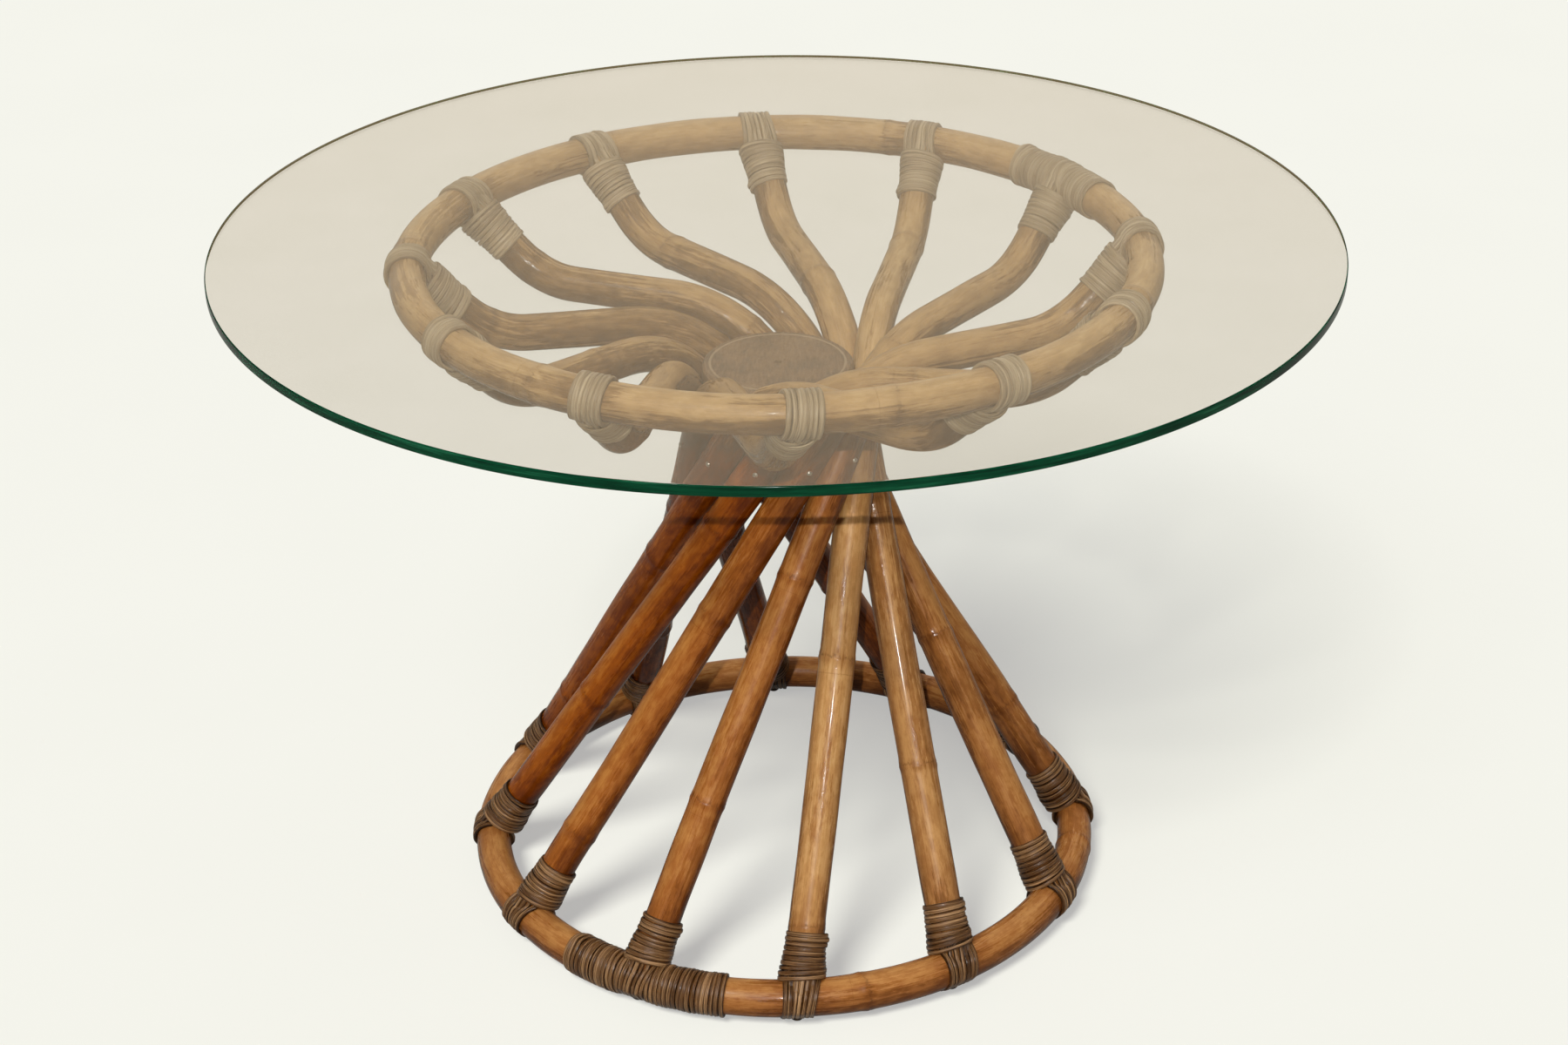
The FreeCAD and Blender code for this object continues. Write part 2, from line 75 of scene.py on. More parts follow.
# Canes
CANE_COUNT = 12
CANE_RADIUS = 18.3 * MM
CANE_GAP = 0.6 * MM
FIRST_JOINT_ANGLE = math.radians(-86.5)
WAIST_HEIGHT = 493 * MM
SHOULDER_RISE = 95 * MM
SHOULDER_BEND = 140 * MM
ELBOW_INSET = 80 * MM
ELBOW_DROP = 80 * MM
ELBOW_BEND = 95 * MM
CANE_END = 45 * MM
COPED_ROWS = 5
COPE_HALVINGS = 30
WAIST_REACH = 60 * MM
END_UNEVENNESS = 0.25
CANE_DRIFT = 1.1 * MM
DRIFT_SPACINGS = (0.13, 0.15)

# Poles of canes and hoops; their ovalness and waves are shares of their radius
POLE_SIDES = 40
POLE_STEP = 5 * MM
POLE_OVAL = 0.018
POLE_OVAL_TURN = (0.2, 0.6)
POLE_WAVES = 0.016
POLE_WAVE_SPACING = 0.045
POLE_SHRINK = 0.004

# Growth rings of the canes and hoops
RING_SPACING = 255 * MM
RING_CLEAR_OF_TOP = 80 * MM
HOOP_RING_SPACING = 350 * MM
HOOP_FIRST_RING = 230 * MM
HOOP_RING_CLEAR = 120 * MM
RING_SWELL = 0.9 * MM
RING_SWELL_REACH = 5 * MM
RING_GROOVE = 0.28 * MM
RING_GROOVE_PLACE = 1.5 * MM
RING_GROOVE_REACH = 1.3 * MM
RING_TILT = 1.6 * MM
RING_REACH = 14 * MM
RING_ROWS = 24
RING_CROWDING = 1.6
RING_SPACING_RANGE = (0.92, 1.08)

# Binding strips, split from cane peel
STRIP_PITCH = 4.65 * MM
STRIP_WIDTH = 4.9 * MM
STRIP_THICKNESS = 2.3 * MM
STRIP_COLUMNS = 13
STRIP_EDGE_DROP = 0.38
STRIP_ROUNDING = 3.4
STRIP_SEAT = 0.15 * MM
SLING_STRANDS = 7
SLING_BEND = 10 * MM
SLING_SEAT = 0.5 * MM
SLING_THICKNESS = 3.7 * MM
SLING_FAN = 0.16
SLING_FAN_SPAN = (0.2, 0.75)
SLING_TAPER = 0.4
SLING_TAPER_SPAN = (0.6, 1.0)
SLING_SIDE_STEPS = 8
SLING_HOOP_STEPS = 24
SLING_TAIL_TURNS = (2.0, 3.2)
WRAP_TURNS = 10
WRAP_FLARE = 3.2 * MM
WRAP_FLARE_SPAN = (0.5, WRAP_TURNS - 2)
WRAP_SLANT_SPAN = (1, 5)
SPLICE_TURNS = {"base": (14, 17), "upper": (11, 11)}
SPLICE_SEAT = 0.9 * MM
SPLICE_UNDER_SLING = (0.8, 1.8)
TURN_STEPS = 40

# Slings drawn thin beside the glides, and the angles from straight down where that starts and ends
SLING_DRAWN = {"base": 0.6, "upper": 0.0}
DRAWN_FROM = (0.2, 0.45)
DRAWN_TO = (1.0, 1.5)

# Tucked ends of the windings, placed in turns: their knob over the last turns, and how they go under
TUCK_ANGLE = math.pi / 2
TUCK_STRAY = 0.04
TUCK_BUMP = 2.8 * MM
TUCK_PLACE = 0.22
TUCK_REACH = 0.055
TUCK_TURNS = ((0, 0.35), (1, 1.0), (2, 0.6))
TUCK_DEPTH = 1.2 * STRIP_THICKNESS
TUCK_START = 0.15
TUCK_STOP = 0.12
TUCK_BACK = 0.7 * STRIP_PITCH
TUCK_BACK_TURNS = 0.25

# Unevenness along each strip, as spacing in metres and amount
WIDTH_CHANGE = (0.06, 0.13)
THICKNESS_CHANGE = (0.05, 0.12)
ROLL_CHANGE = (0.045, 0.1)
FIBRE_CHANGE = (0.06, 0.1)
TONE_CHANGE = (0.11, 0.5)

# The same for a sling, with the spacing in half slings, and for a winding, with it in turns
SLING_CHANGE = (0.4, 0.5 * MM)
LIFT_CHANGE = (0.45, 0.32 * MM)
TRAVEL_CHANGE = (0.4, 0.6 * MM)

# Wear and painted light: upper sides of the poles paler, partly sun wear and partly painted light from
# above, undersides painted darker as shade; stains and painted waist shade that darken them; and the fade
# above the waist
EXPOSURE_AND_TOP_LIGHT = 0.2
UNDERSIDE_SHADE_LIMIT = -0.15
STAIN_AND_SHADE_DEPTH = 0.14
# Painted shade where the canes press together at the waist, as a share of the darkening depth
WAIST_SHADE = 0.9
BASE_STAIN_REACH = 70 * MM
UPPER_STAIN_REACH = 50 * MM
HOOP_STAIN = 0.8
HOOP_STAIN_REACH = 35 * MM
SPLICE_REACH = 60 * MM
FADE_FROM = -10 * MM
FADE_TO = 100 * MM

# First growth ring up each cane, then the cane's tone, from dark to pale, and its fade below the waist
FIRST_RINGS = [length * MM for length in (70, 205, 59, 150, 100, 230, 80, 180, 130, 226, 110, 191)]
CANE_LOOKS = [
    (0.45, 0.55), (0.36, 0.55), (0.31, 0.42), (0.32, 0.38), (0.3, 0.15), (0.28, 0.1),
    (0.3, 0.05), (0.29, 0.05), (0.33, 0.0), (0.33, 0.0), (0.34, 0.16), (0.33, 0.25),
]

# Shifts of the pattern along each straight pole or strip, so that no two look alike
CANE_PATTERN_STEP = 3.0
HOOP_PATTERN_START = 40.0
STRIP_PATTERN_STEP = 1.7
SPLICE_PATTERN = 20

# Seeds of the random unevenness
CANE_SEED = 100
SPLICE_SEED = 500
BINDING_SEED = 1000


def waist_offset():
    """Distance of the canes' planes from the middle, at which neighbours cross with the named gap."""
    climb = WAIST_HEIGHT - BASE_HEIGHT
    spacing = 2 * CANE_RADIUS + CANE_GAP
    half_step = math.pi / CANE_COUNT
    level = BASE_RADIUS * math.cos(half_step)
    across = (2 * climb * math.sin(half_step)) ** 2 + (spacing * math.cos(half_step)) ** 2
    return spacing * math.sqrt((climb**2 + level**2) / across)


WAIST_OFFSET = waist_offset()
BASE_REACH = math.sqrt(BASE_RADIUS**2 - WAIST_OFFSET**2)
UPPER_REACH = math.sqrt(UPPER_RADIUS**2 - WAIST_OFFSET**2)
FIRST_CANE_ANGLE = FIRST_JOINT_ANGLE + math.acos(WAIST_OFFSET / BASE_RADIUS)
CANE_ANGLES = [FIRST_CANE_ANGLE + 2 * math.pi * index / CANE_COUNT for index in range(CANE_COUNT)]


def unit(vector):
    return vector / np.linalg.norm(vector)


def turned(points, angle):
    """Points turned about the table's upright axis."""
    cosine, sine = math.cos(angle), math.sin(angle)
    turn = np.array(((cosine, -sine, 0), (sine, cosine, 0), (0, 0, 1)))
    return points @ turn.T


def level_way(angle):
    """Level directions at the given angles; their last axis becomes the three numbers."""
    return np.concatenate((np.cos(angle), np.sin(angle), 0 * angle), axis=-1)


def stacked(*values):
    """The values side by side along a new last axis, each spread out to the shape of all."""
    return np.stack(np.broadcast_arrays(*values), axis=-1)


def smooth(values, low, high):
    """0 below the low value, 1 above the high one, with an even passage between."""
    share = np.clip((values - low) / (high - low), 0, 1)
    return share * share * (3 - 2 * share)


def wander(places, spacing, amount, chance):
    """Gentle random drift along a line, up to the amount each way."""
    places = np.asarray(places, float)
    steps = (places - places.min()) / spacing
    knots = chance.uniform(-amount, amount, int(steps.max()) + 2)
    before = steps.astype(int)
    share = smooth(steps - before, 0, 1)
    return knots[before] * (1 - share) + knots[before + 1] * share


class Route:
    """Straight runs joined by tangent arcs in one plane; a point there is (along the ground, up)."""

    def __init__(self, corners, bends):
        self.stretches = []
        self.length = 0.0
        start = corners[0]
        for index, radius in enumerate(bends, 1):
            incoming = unit(corners[index] - corners[index - 1])
            outgoing = unit(corners[index + 1] - corners[index])
            cross = incoming[0] * outgoing[1] - incoming[1] * outgoing[0]
            turn = math.atan2(cross, incoming @ outgoing)
            setback = radius * math.tan(abs(turn) / 2)
            first = corners[index] - incoming * setback
            self.add(start, incoming, np.linalg.norm(first - start), 0.0)
            self.add(first, incoming, radius * abs(turn), math.copysign(1 / radius, turn))
            start = corners[index] + outgoing * setback
        self.add(start, outgoing, np.linalg.norm(corners[-1] - start), 0.0)

    def add(self, start, heading, length, curvature):
        self.stretches.append((self.length, start, heading, curvature))
        self.length += length

    def at(self, distance):
        """Point and heading after a distance from the start."""
        reached = [stretch for stretch in self.stretches if stretch[0] <= max(distance, 0)]
        begin, start, heading, curvature = reached[-1]
        travel = distance - begin
        left = np.array((-heading[1], heading[0]))
        if curvature == 0:
            return start + heading * travel, heading
        angle = curvature * travel
        point = start + (heading * math.sin(angle) + left * (1 - math.cos(angle))) / curvature
        return point, heading * math.cos(angle) + left * math.sin(angle)


def cane_corners():
    slope = (WAIST_HEIGHT - BASE_HEIGHT) / BASE_REACH
    return [
        np.array((-BASE_REACH, BASE_HEIGHT)),
        np.array((SHOULDER_RISE / slope, WAIST_HEIGHT + SHOULDER_RISE)),
        np.array((UPPER_REACH - ELBOW_INSET, UPPER_HEIGHT - ELBOW_DROP)),
        np.array((UPPER_REACH, UPPER_HEIGHT)),
    ]


CORNERS = cane_corners()
WAIST_PLACE = math.hypot(BASE_REACH, WAIST_HEIGHT - BASE_HEIGHT)
CANE_ROUTE = Route(CORNERS, (SHOULDER_BEND, ELBOW_BEND))


def in_plane(point):
    """A point of the reference cane's plane, in the table's frame."""
    return np.array((WAIST_OFFSET, point[0], point[1]))


class Joint:
    """Where the reference cane meets a hoop: its middle, the way into the cane and along the hoop.

    Its fade says how far the sun has bleached what is there.
    """

    def __init__(self, name, hoop_radius, end, neighbour, fade, seed):
        self.name = name
        self.fade = fade
        self.seed = seed
        self.hoop_radius = hoop_radius
        self.middle = in_plane(end)
        self.into_cane = unit(in_plane(neighbour) - self.middle)
        self.angle = math.atan2(self.middle[1], self.middle[0])
        self.along_hoop = np.array((-math.sin(self.angle), math.cos(self.angle), 0))
        self.across = unit(np.cross(self.along_hoop, self.into_cane))
        self.aside = np.cross(self.into_cane, self.across)
        self.lean = math.acos(self.into_cane @ self.along_hoop)

    def hoop_point(self, distance):
        angle = np.array([self.angle + distance / self.hoop_radius])
        return level_way(angle) * self.hoop_radius + UP * self.middle[2]

    def wrap_start(self):
        """Distance up the cane of the first turn round it, which is pressed against the hoop."""
        return HOOP_POLE / math.sin(self.lean) + (STRIP_WIDTH - STRIP_PITCH) / 2

    def wrap_end(self):
        return self.wrap_start() + WRAP_TURNS * STRIP_PITCH


JOINTS = {
    "base": Joint("base", BASE_RADIUS, CORNERS[0], CORNERS[1], fade=0.0, seed=4),
    "upper": Joint("upper", UPPER_RADIUS, CORNERS[3], CORNERS[2], fade=1.0, seed=5),
}


# Meshes

def grid_faces(rows, columns, closed_rows=False):
    """Quads between neighbouring rows of points; each row is a closed ring of columns."""
    row = np.arange(rows if closed_rows else rows - 1)[:, None]
    column = np.arange(columns)[None, :]
    after_row, after_column = (row + 1) % rows, (column + 1) % columns
    corners = stacked(
        row * columns + column,
        row * columns + after_column,
        after_row * columns + after_column,
        after_row * columns + column,
    )
    return corners.reshape(-1, 4)


def new_object(name, data):
    piece = bpy.data.objects.new(name, data)
    bpy.context.scene.collection.objects.link(piece)
    return piece


class Build:
    """Collects tubes, then makes one mesh piece of them.

    Each point keeps its place on the straight pole or strip, and its wear: distance from a growth ring
    or height of a fibre, then tone, which on the poles holds painted light and shade, and fade.
    """

    def __init__(self):
        self.points = []
        self.faces = []
        self.straight = []
        self.wear = []
        self.count = 0

    def add(self, points, straight, wear, closed=False):
        """A tube given as (rows, columns, 3) points; open tubes get a flat cap at each end."""
        rows, columns, _ = points.shape
        faces = [list(face) for face in grid_faces(rows, columns, closed) + self.count]
        if not closed:
            first = list(range(self.count, self.count + columns))
            last = [self.count + (rows - 1) * columns + column for column in range(columns)]
            faces += [first[::-1], last]
        self.points.append(points.reshape(-1, 3))
        self.straight.append(straight.reshape(-1, 3))
        self.wear.append(wear.reshape(-1, 3))
        self.faces += faces
        self.count += rows * columns

    def piece(self, name, material, angle=0.0):
        mesh = bpy.data.meshes.new(name)
        mesh.from_pydata(turned(np.concatenate(self.points), angle).tolist(), [], self.faces)
        for attribute, rows in (("straight", self.straight), ("wear", self.wear)):
            values = mesh.attributes.new(attribute, "FLOAT_VECTOR", "POINT")
            values.data.foreach_set("vector", np.concatenate(rows).astype(np.float32).ravel())
        mesh.shade_smooth()
        mesh.materials.append(material)
        return new_object(name, mesh)


def dress(piece, body, slot, *nodes):
    """The piece rides on a body and stands for the named parts of the frame."""
    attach(piece, body)
    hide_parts(*nodes)


def growth_rings(length, first, spacing, clear_start, clear_end, chance):
    """Distances of the growth rings along a pole, unevenly spaced, clear of its ends."""
    places = []
    place = first
    while place < length - clear_end:
        if place > clear_start:
            places.append(place)
        place += spacing * chance.uniform(*RING_SPACING_RANGE)
    return places


def row_places(length, rings):
    """Distances of the rows of a pole, closer together over each growth ring."""
    even = np.linspace(0, length, int(length / POLE_STEP) + 1)
    far = [place for place in even if all(abs(place - ring) > RING_REACH for ring in rings)]
    share = np.linspace(-1, 1, RING_ROWS)
    near = [ring + RING_REACH * np.sign(share) * np.abs(share) ** RING_CROWDING for ring in rings]
    return np.sort(np.concatenate([far, *near]))


def ring_profile(distance):
    """How far a growth ring stands out: a low swelling with a groove where the leaf sheath sat."""
    swell = RING_SWELL * np.exp(-((distance / RING_SWELL_REACH) ** 2))
    groove = RING_GROOVE * np.exp(-(((distance - RING_GROOVE_PLACE) / RING_GROOVE_REACH) ** 2))
    return swell - groove


def pole_surface(places, radius, rings, chance):
    """Angles round a pole; then radius, shift along it and distance from a growth ring at each point."""
    around = np.linspace(0, 2 * math.pi, POLE_SIDES, endpoint=False)[None, :]
    rows = places[:, None]
    shift = np.zeros((len(places), POLE_SIDES))
    from_ring = np.full((len(places), POLE_SIDES), RING_REACH)
    for ring in rings:
        tilt = RING_TILT * np.cos(around - chance.uniform(0, 2 * math.pi))
        near = np.abs(rows - ring) < RING_REACH * 1.001
        hold = 1 - smooth(np.abs(rows - ring), 0.5 * RING_REACH, RING_REACH)
        shift = shift + np.where(near, tilt * hold, 0)
        from_ring = np.where(near, rows - ring + 0 * around, from_ring)
    first_turn = chance.uniform(0, 6)
    oval_turn = first_turn + wander(places, *POLE_OVAL_TURN, chance)[:, None]
    oval = POLE_OVAL * np.cos(2 * around + oval_turn)
    waves = POLE_WAVES * wander(places, POLE_WAVE_SPACING, 1, chance)[:, None]
    radii = radius * (1 + oval + waves - POLE_SHRINK) + ring_profile(from_ring)
    return around, radii, shift, from_ring


def coped(offsets, joint):
    """Distance up the cane at which lines beside its axis leave the hoop's surface."""
    low = np.zeros(len(offsets))
    high = np.full(len(offsets), CANE_END)
    for _ in range(COPE_HALVINGS):
        middle = (low + high) / 2
        points = joint.middle + joint.into_cane * middle[:, None] + offsets
        out = np.hypot(points[:, 0], points[:, 1]) - joint.hoop_radius
        inside = np.hypot(out, points[:, 2] - joint.middle[2]) < HOOP_POLE
        low, high = np.where(inside, middle, low), np.where(inside, high, middle)
    return high


def cane_rows(places):
    """Middle, heading and upward direction of the reference cane at the given distances."""
    stations = [CANE_ROUTE.at(place) for place in places]
    middles = np.array([in_plane(point) for point, _ in stations])
    headings = np.array([(0, heading[0], heading[1]) for _, heading in stations])
    ups = np.array([(0, -heading[1], heading[0]) for _, heading in stations])
    return middles, headings, ups


def near_waist(places):
    """1 where the canes cross at the waist, fading out both ways."""
    return np.exp(-(((places - WAIST_PLACE) / WAIST_REACH) ** 2))


def cane_points(index, first_ring):
    """Rows of points of one cane between its coped ends."""
    chance = np.random.default_rng(CANE_SEED + index)
    length = CANE_ROUTE.length
    end = CANE_END
    rings = growth_rings(length, first_ring, RING_SPACING, end + RING_REACH, RING_CLEAR_OF_TOP, chance)
    places = row_places(length - 2 * end, [ring - end for ring in rings]) + end
    around, radii, shift, from_ring = pole_surface(places, CANE_RADIUS, rings, chance)
    held = smooth(places, end, 2 * end) * (1 - smooth(places, length - 3 * end, length - 2 * end))
    drift = CANE_DRIFT * (held * (1 - near_waist(places)))[:, None]
    middles, headings, ups = cane_rows(places)
    sideways = np.array((1.0, 0, 0))
    to_side, to_up = [wander(places, spacing, 1, chance)[:, None] for spacing in DRIFT_SPACINGS]
    middles = middles + drift * (sideways * to_side + ups * to_up)
    unevenness = END_UNEVENNESS + (1 - END_UNEVENNESS) * held[:, None]
    radii = CANE_RADIUS + (radii - CANE_RADIUS) * unevenness
    outward = np.cos(around)[..., None] * sideways + np.sin(around)[..., None] * ups[:, None, :]
    points = middles[:, None, :] + radii[..., None] * outward + shift[..., None] * headings[:, None, :]
    along = places[:, None] + shift
    return points, along, around, from_ring


def with_coped_end(points, along, joint, at_start):
    """Rows that carry a cane's tube on to the hoop that its end is cut to fit."""
    edge = points[0 if at_start else -1]
    offsets = edge - joint.middle
    offsets = offsets - (offsets @ joint.into_cane)[:, None] * joint.into_cane
    stop = coped(offsets, joint)
    reach = (edge - joint.middle) @ joint.into_cane
    shares = np.linspace(0, 1, COPED_ROWS + 1)[:-1]
    if not at_start:
        shares = shares[::-1]
    rows = [
        joint.middle + offsets + joint.into_cane * (stop * (1 - share) + reach * share)[:, None]
        for share in shares
    ]
    return np.array(rows), np.array([np.full(len(edge), along) for _ in shares])


def wear_and_top_light_of(from_ring, around, tone, fade):
    """Wear of a pole's points, from the tone and fade along its rows; the outer, upper side is paler,
    partly as sun wear and partly as painted light, and the underside is painted darker as shade.
    """
    # Painted light and shade: tone raised on the upper side, lowered on the underside down to a limit
    tones = tone[:, None] + EXPOSURE_AND_TOP_LIGHT * np.maximum(np.sin(around), UNDERSIDE_SHADE_LIMIT)
    return stacked(from_ring, tones, fade[:, None])


def straight_pole(radius, around, along):
    """Points of the pole before it was bent, which its patterns follow."""
    return stacked(radius * np.cos(around), radius * np.sin(around), along)


def cane_stain_and_shade(places):
    """Stain along a cane, most beside its bindings, and painted shade where the canes press together at
    the waist.
    """
    base_end = JOINTS["base"].wrap_end()
    upper_end = CANE_ROUTE.length - JOINTS["upper"].wrap_end()
    clear_of_base = smooth(places, base_end, base_end + BASE_STAIN_REACH)
    clear_of_upper = 1 - smooth(places, upper_end - UPPER_STAIN_REACH, upper_end)
    # The waist term is painted shade between the crossing canes; the rest is stain beside the bindings
    return np.maximum(1 - clear_of_base * clear_of_upper, WAIST_SHADE * near_waist(places))


def cane_fade(places, low_fade):
    """Fade along a cane: its own below the waist, bleached by the sun under the glass above it."""
    under_glass = smooth(places, WAIST_PLACE + FADE_FROM, WAIST_PLACE + FADE_TO)
    return low_fade + (JOINTS["upper"].fade - low_fade) * under_glass


def make_cane(index, material):
    points, along, around, from_ring = cane_points(index, FIRST_RINGS[index])
    start, start_along = with_coped_end(points, along[0].mean(), JOINTS["base"], True)
    end, end_along = with_coped_end(points, along[-1].mean(), JOINTS["upper"], False)
    points = np.concatenate((start, points, end))
    along = np.concatenate((start_along, along, end_along))
    far = np.full((len(start), POLE_SIDES), RING_REACH)
    from_ring = np.concatenate((far, from_ring, far))
    rows = along.mean(axis=1)
    tone, low_fade = CANE_LOOKS[index]
    # Tone with painted light from above, painted shade below and at the waist, and stain beside the
    # bindings
    wear = wear_and_top_light_of(from_ring, around, tone - STAIN_AND_SHADE_DEPTH * cane_stain_and_shade(rows), cane_fade(rows, low_fade))
    straight = straight_pole(CANE_RADIUS, around, along + CANE_PATTERN_STEP * index)
    build = Build()
    build.add(points, straight, wear)
    name = f"cane_{index + 1:02d}"
    piece = build.piece(f"{name}_pole", material, CANE_ANGLES[index])
    dress(piece, "pedestal", "cane", name)


def make_hoop(joint, tone, fade, seed, material):
    """Pole bent round, starting and ending under the wrap over its splice."""
    chance = np.random.default_rng(seed)
    radius, height = joint.hoop_radius, joint.middle[2]
    length = 2 * math.pi * radius
    rings = growth_rings(
        length, HOOP_FIRST_RING, HOOP_RING_SPACING, HOOP_RING_CLEAR, HOOP_RING_CLEAR, chance
    )
    places = row_places(length, rings)[:-1]
    around, radii, shift, from_ring = pole_surface(places, HOOP_POLE, rings, chance)
    splice_angle = joint.angle + CANE_ANGLES[-1]
    angle = (splice_angle + (places[:, None] + shift) / radius)[..., None]
    outward = level_way(angle)
    clear_of_splice = smooth(places, 0, SPLICE_REACH) * (1 - smooth(places, length - SPLICE_REACH, length))
    radii = HOOP_POLE + (radii - HOOP_POLE) * clear_of_splice[:, None]
    out = radius + radii * np.cos(around)
    points = outward * out[..., None] + UP * (height + radii * np.sin(around))[..., None]
    along = places[:, None] + shift
    straight = straight_pole(HOOP_POLE, around, along + HOOP_PATTERN_START + seed)
    joint_spacing = length / CANE_COUNT
    from_joint = np.abs((places + joint_spacing / 2) % joint_spacing - joint_spacing / 2)
    sling = SLING_STRANDS * STRIP_PITCH / 2
    stain = HOOP_STAIN * (1 - smooth(from_joint, sling, sling + HOOP_STAIN_REACH))
    build = Build()
    fades = np.full(len(places), fade)
    build.add(points, straight, wear_and_top_light_of(from_ring, around, tone - STAIN_AND_SHADE_DEPTH * stain, fades), closed=True)
    node = f"{joint.name}_hoop"
    dress(build.piece(f"{node}_pole", material), "pedestal", "hoop_cane", node)


def strip_section():
    """Section of a split strip, low-crowned and flat underneath, in shares of its width and thickness."""
    across = np.sin(np.linspace(-math.pi / 2, math.pi / 2, STRIP_COLUMNS)) / 2
    crown = 1 - STRIP_EDGE_DROP * np.abs(2 * across) ** STRIP_ROUNDING
    crown[[0, -1]] = 0
    return across, crown


def lay_strip(build, seats, outward, sideways, thickness, number, fade, chance):
    """One strip along its seat points, with one thickness or one at each of them.

    It rolls a little, its fibres stand out, and the glass presses flat what would reach it.
    """
    across, crown = strip_section()
    steps = np.linalg.norm(np.diff(seats, axis=0), axis=1)
    along = np.concatenate(((0,), np.cumsum(steps)))
    widths = STRIP_WIDTH * (1 + wander(along, *WIDTH_CHANGE, chance))
    tall = thickness * (1 + wander(along, *THICKNESS_CHANGE, chance))
    roll = wander(along, *ROLL_CHANGE, chance)
    fibres = np.stack([wander(along, *FIBRE_CHANGE, chance) for _ in across], axis=1)
    offsets = widths[:, None] * across
    heights = tall[:, None] * crown * (1 + fibres) + offsets * (roll[:, None] * (crown > 0))
    points = (
        seats[:, None, :]
        + offsets[..., None] * sideways[:, None, :]
        + heights[..., None] * outward[:, None, :]
    )
    points[..., 2] = np.minimum(points[..., 2], GLASS_LOW.z - GLASS_GAP)
    pattern = along[:, None] + STRIP_PATTERN_STEP * number
    straight = stacked(across * STRIP_WIDTH, crown * STRIP_THICKNESS, pattern)
    tone = 0.5 + wander(along, *TONE_CHANGE, chance)[:, None]
    build.add(points, straight, stacked(fibres / FIBRE_CHANGE[1], tone, fade))


def lay_sling(build, joint, number, chance):
    """One strand that runs down one side of the cane, round the hoop and up the other side."""
    middle_number = (SLING_STRANDS - 1) / 2
    middle = joint.hoop_point((number - middle_number) * STRIP_PITCH)
    round_hoop = HOOP_POLE + SLING_SEAT
    to_axis = joint.middle - middle
    from_axis = -(to_axis @ joint.aside)
    beside = math.sqrt((CANE_RADIUS + STRIP_SEAT) ** 2 - ((1 + SLING_FAN) * from_axis) ** 2)
    tail_end = joint.wrap_start() + STRIP_PITCH * chance.uniform(*SLING_TAIL_TURNS)
    halves = []
    for side in (1, -1):
        tail = min(round_hoop, beside + side * (to_axis @ joint.across))
        pivot = round_hoop + SLING_BEND
        swing = math.acos((tail + SLING_BEND) / pivot)
        tail_ups = np.linspace(tail_end, pivot * math.sin(swing), SLING_SIDE_STEPS)[:-1]
        on_tail = [(tail, up, 0.0) for up in tail_ups]
        on_bend = [
            (
                pivot * math.cos(swing) - SLING_BEND * math.cos(angle),
                pivot * math.sin(swing) - SLING_BEND * math.sin(angle),
                angle,
            )
            for angle in np.linspace(0, swing, SLING_SIDE_STEPS)[:-1]
        ]
        on_hoop = [
            (round_hoop * math.cos(angle), round_hoop * math.sin(angle), angle)
            for angle in np.linspace(swing, -math.pi / 2, SLING_HOOP_STEPS)
        ]
        half = on_tail + on_bend + on_hoop
        halves.append([(side * across, up, angle, side) for across, up, angle in half])
    line = np.array(halves[0] + halves[1][-2::-1])
    across, up, angle, side = line.T[..., None]
    seats = middle + joint.across * across + joint.into_cane * up
    outward = joint.across * (side * np.cos(angle)) + joint.into_cane * np.sin(angle)
    share = np.linspace(-1, 1, len(seats))
    fan = SLING_FAN * from_axis * smooth(np.abs(share), *SLING_FAN_SPAN)
    drift = (fan + wander(share, *SLING_CHANGE, chance))[:, None] * joint.aside
    sideways = np.broadcast_to(joint.aside, seats.shape)
    from_glide = np.arccos(np.clip(-outward[:, 2], -1, 1))
    drawn = smooth(from_glide, *DRAWN_FROM) * (1 - smooth(from_glide, *DRAWN_TO))
    taper = SLING_TAPER * smooth(np.abs(share), *SLING_TAPER_SPAN)
    thickness = SLING_THICKNESS * (1 - taper - SLING_DRAWN[joint.name] * drawn)
    lay_strip(build, seats + drift, outward, sideways, thickness, number, joint.fade, chance)


def winding(turns, seat, chance):
    """Angles, heights above the pole and travel along it of a wound strip, its far end tucked under."""
    steps = np.linspace(0, turns, turns * TURN_STEPS + 1)
    bump_place = turns - TUCK_PLACE
    stray = chance.uniform(-TUCK_STRAY, TUCK_STRAY)
    angles = 2 * math.pi * (steps - bump_place + stray) + TUCK_ANGLE
    tucked = smooth(steps, 0, TUCK_START) * (1 - smooth(steps, turns - TUCK_STOP, turns))
    from_tuck = steps - bump_place
    knob = sum(share * np.exp(-(((from_tuck + turn) / TUCK_REACH) ** 2)) for turn, share in TUCK_TURNS)
    lift = seat + TUCK_BUMP * knob + wander(steps, *LIFT_CHANGE, chance)
    lift = lift * tucked - TUCK_DEPTH * (1 - tucked)
    travel = STRIP_PITCH * steps + wander(steps, *TRAVEL_CHANGE, chance)
    travel = travel - TUCK_BACK * smooth(steps, turns - TUCK_BACK_TURNS, turns)
    return steps, angles, lift, travel


def lay_turns(build, joint, middles, ways, radius, angles, lift, number, chance):
    """Strip wound round a pole; the ways are the one along the pole and two across it."""
    along, first, second = ways
    cosine, sine = np.cos(angles)[:, None], np.sin(angles)[:, None]
    outward = first * cosine + second * sine
    onward = second * cosine - first * sine
    seats = middles + outward * (radius + lift)[:, None]
    sideways = along - onward * (STRIP_PITCH / (2 * math.pi * radius))
    lay_strip(build, seats, outward, sideways, STRIP_THICKNESS, number, joint.fade, chance)


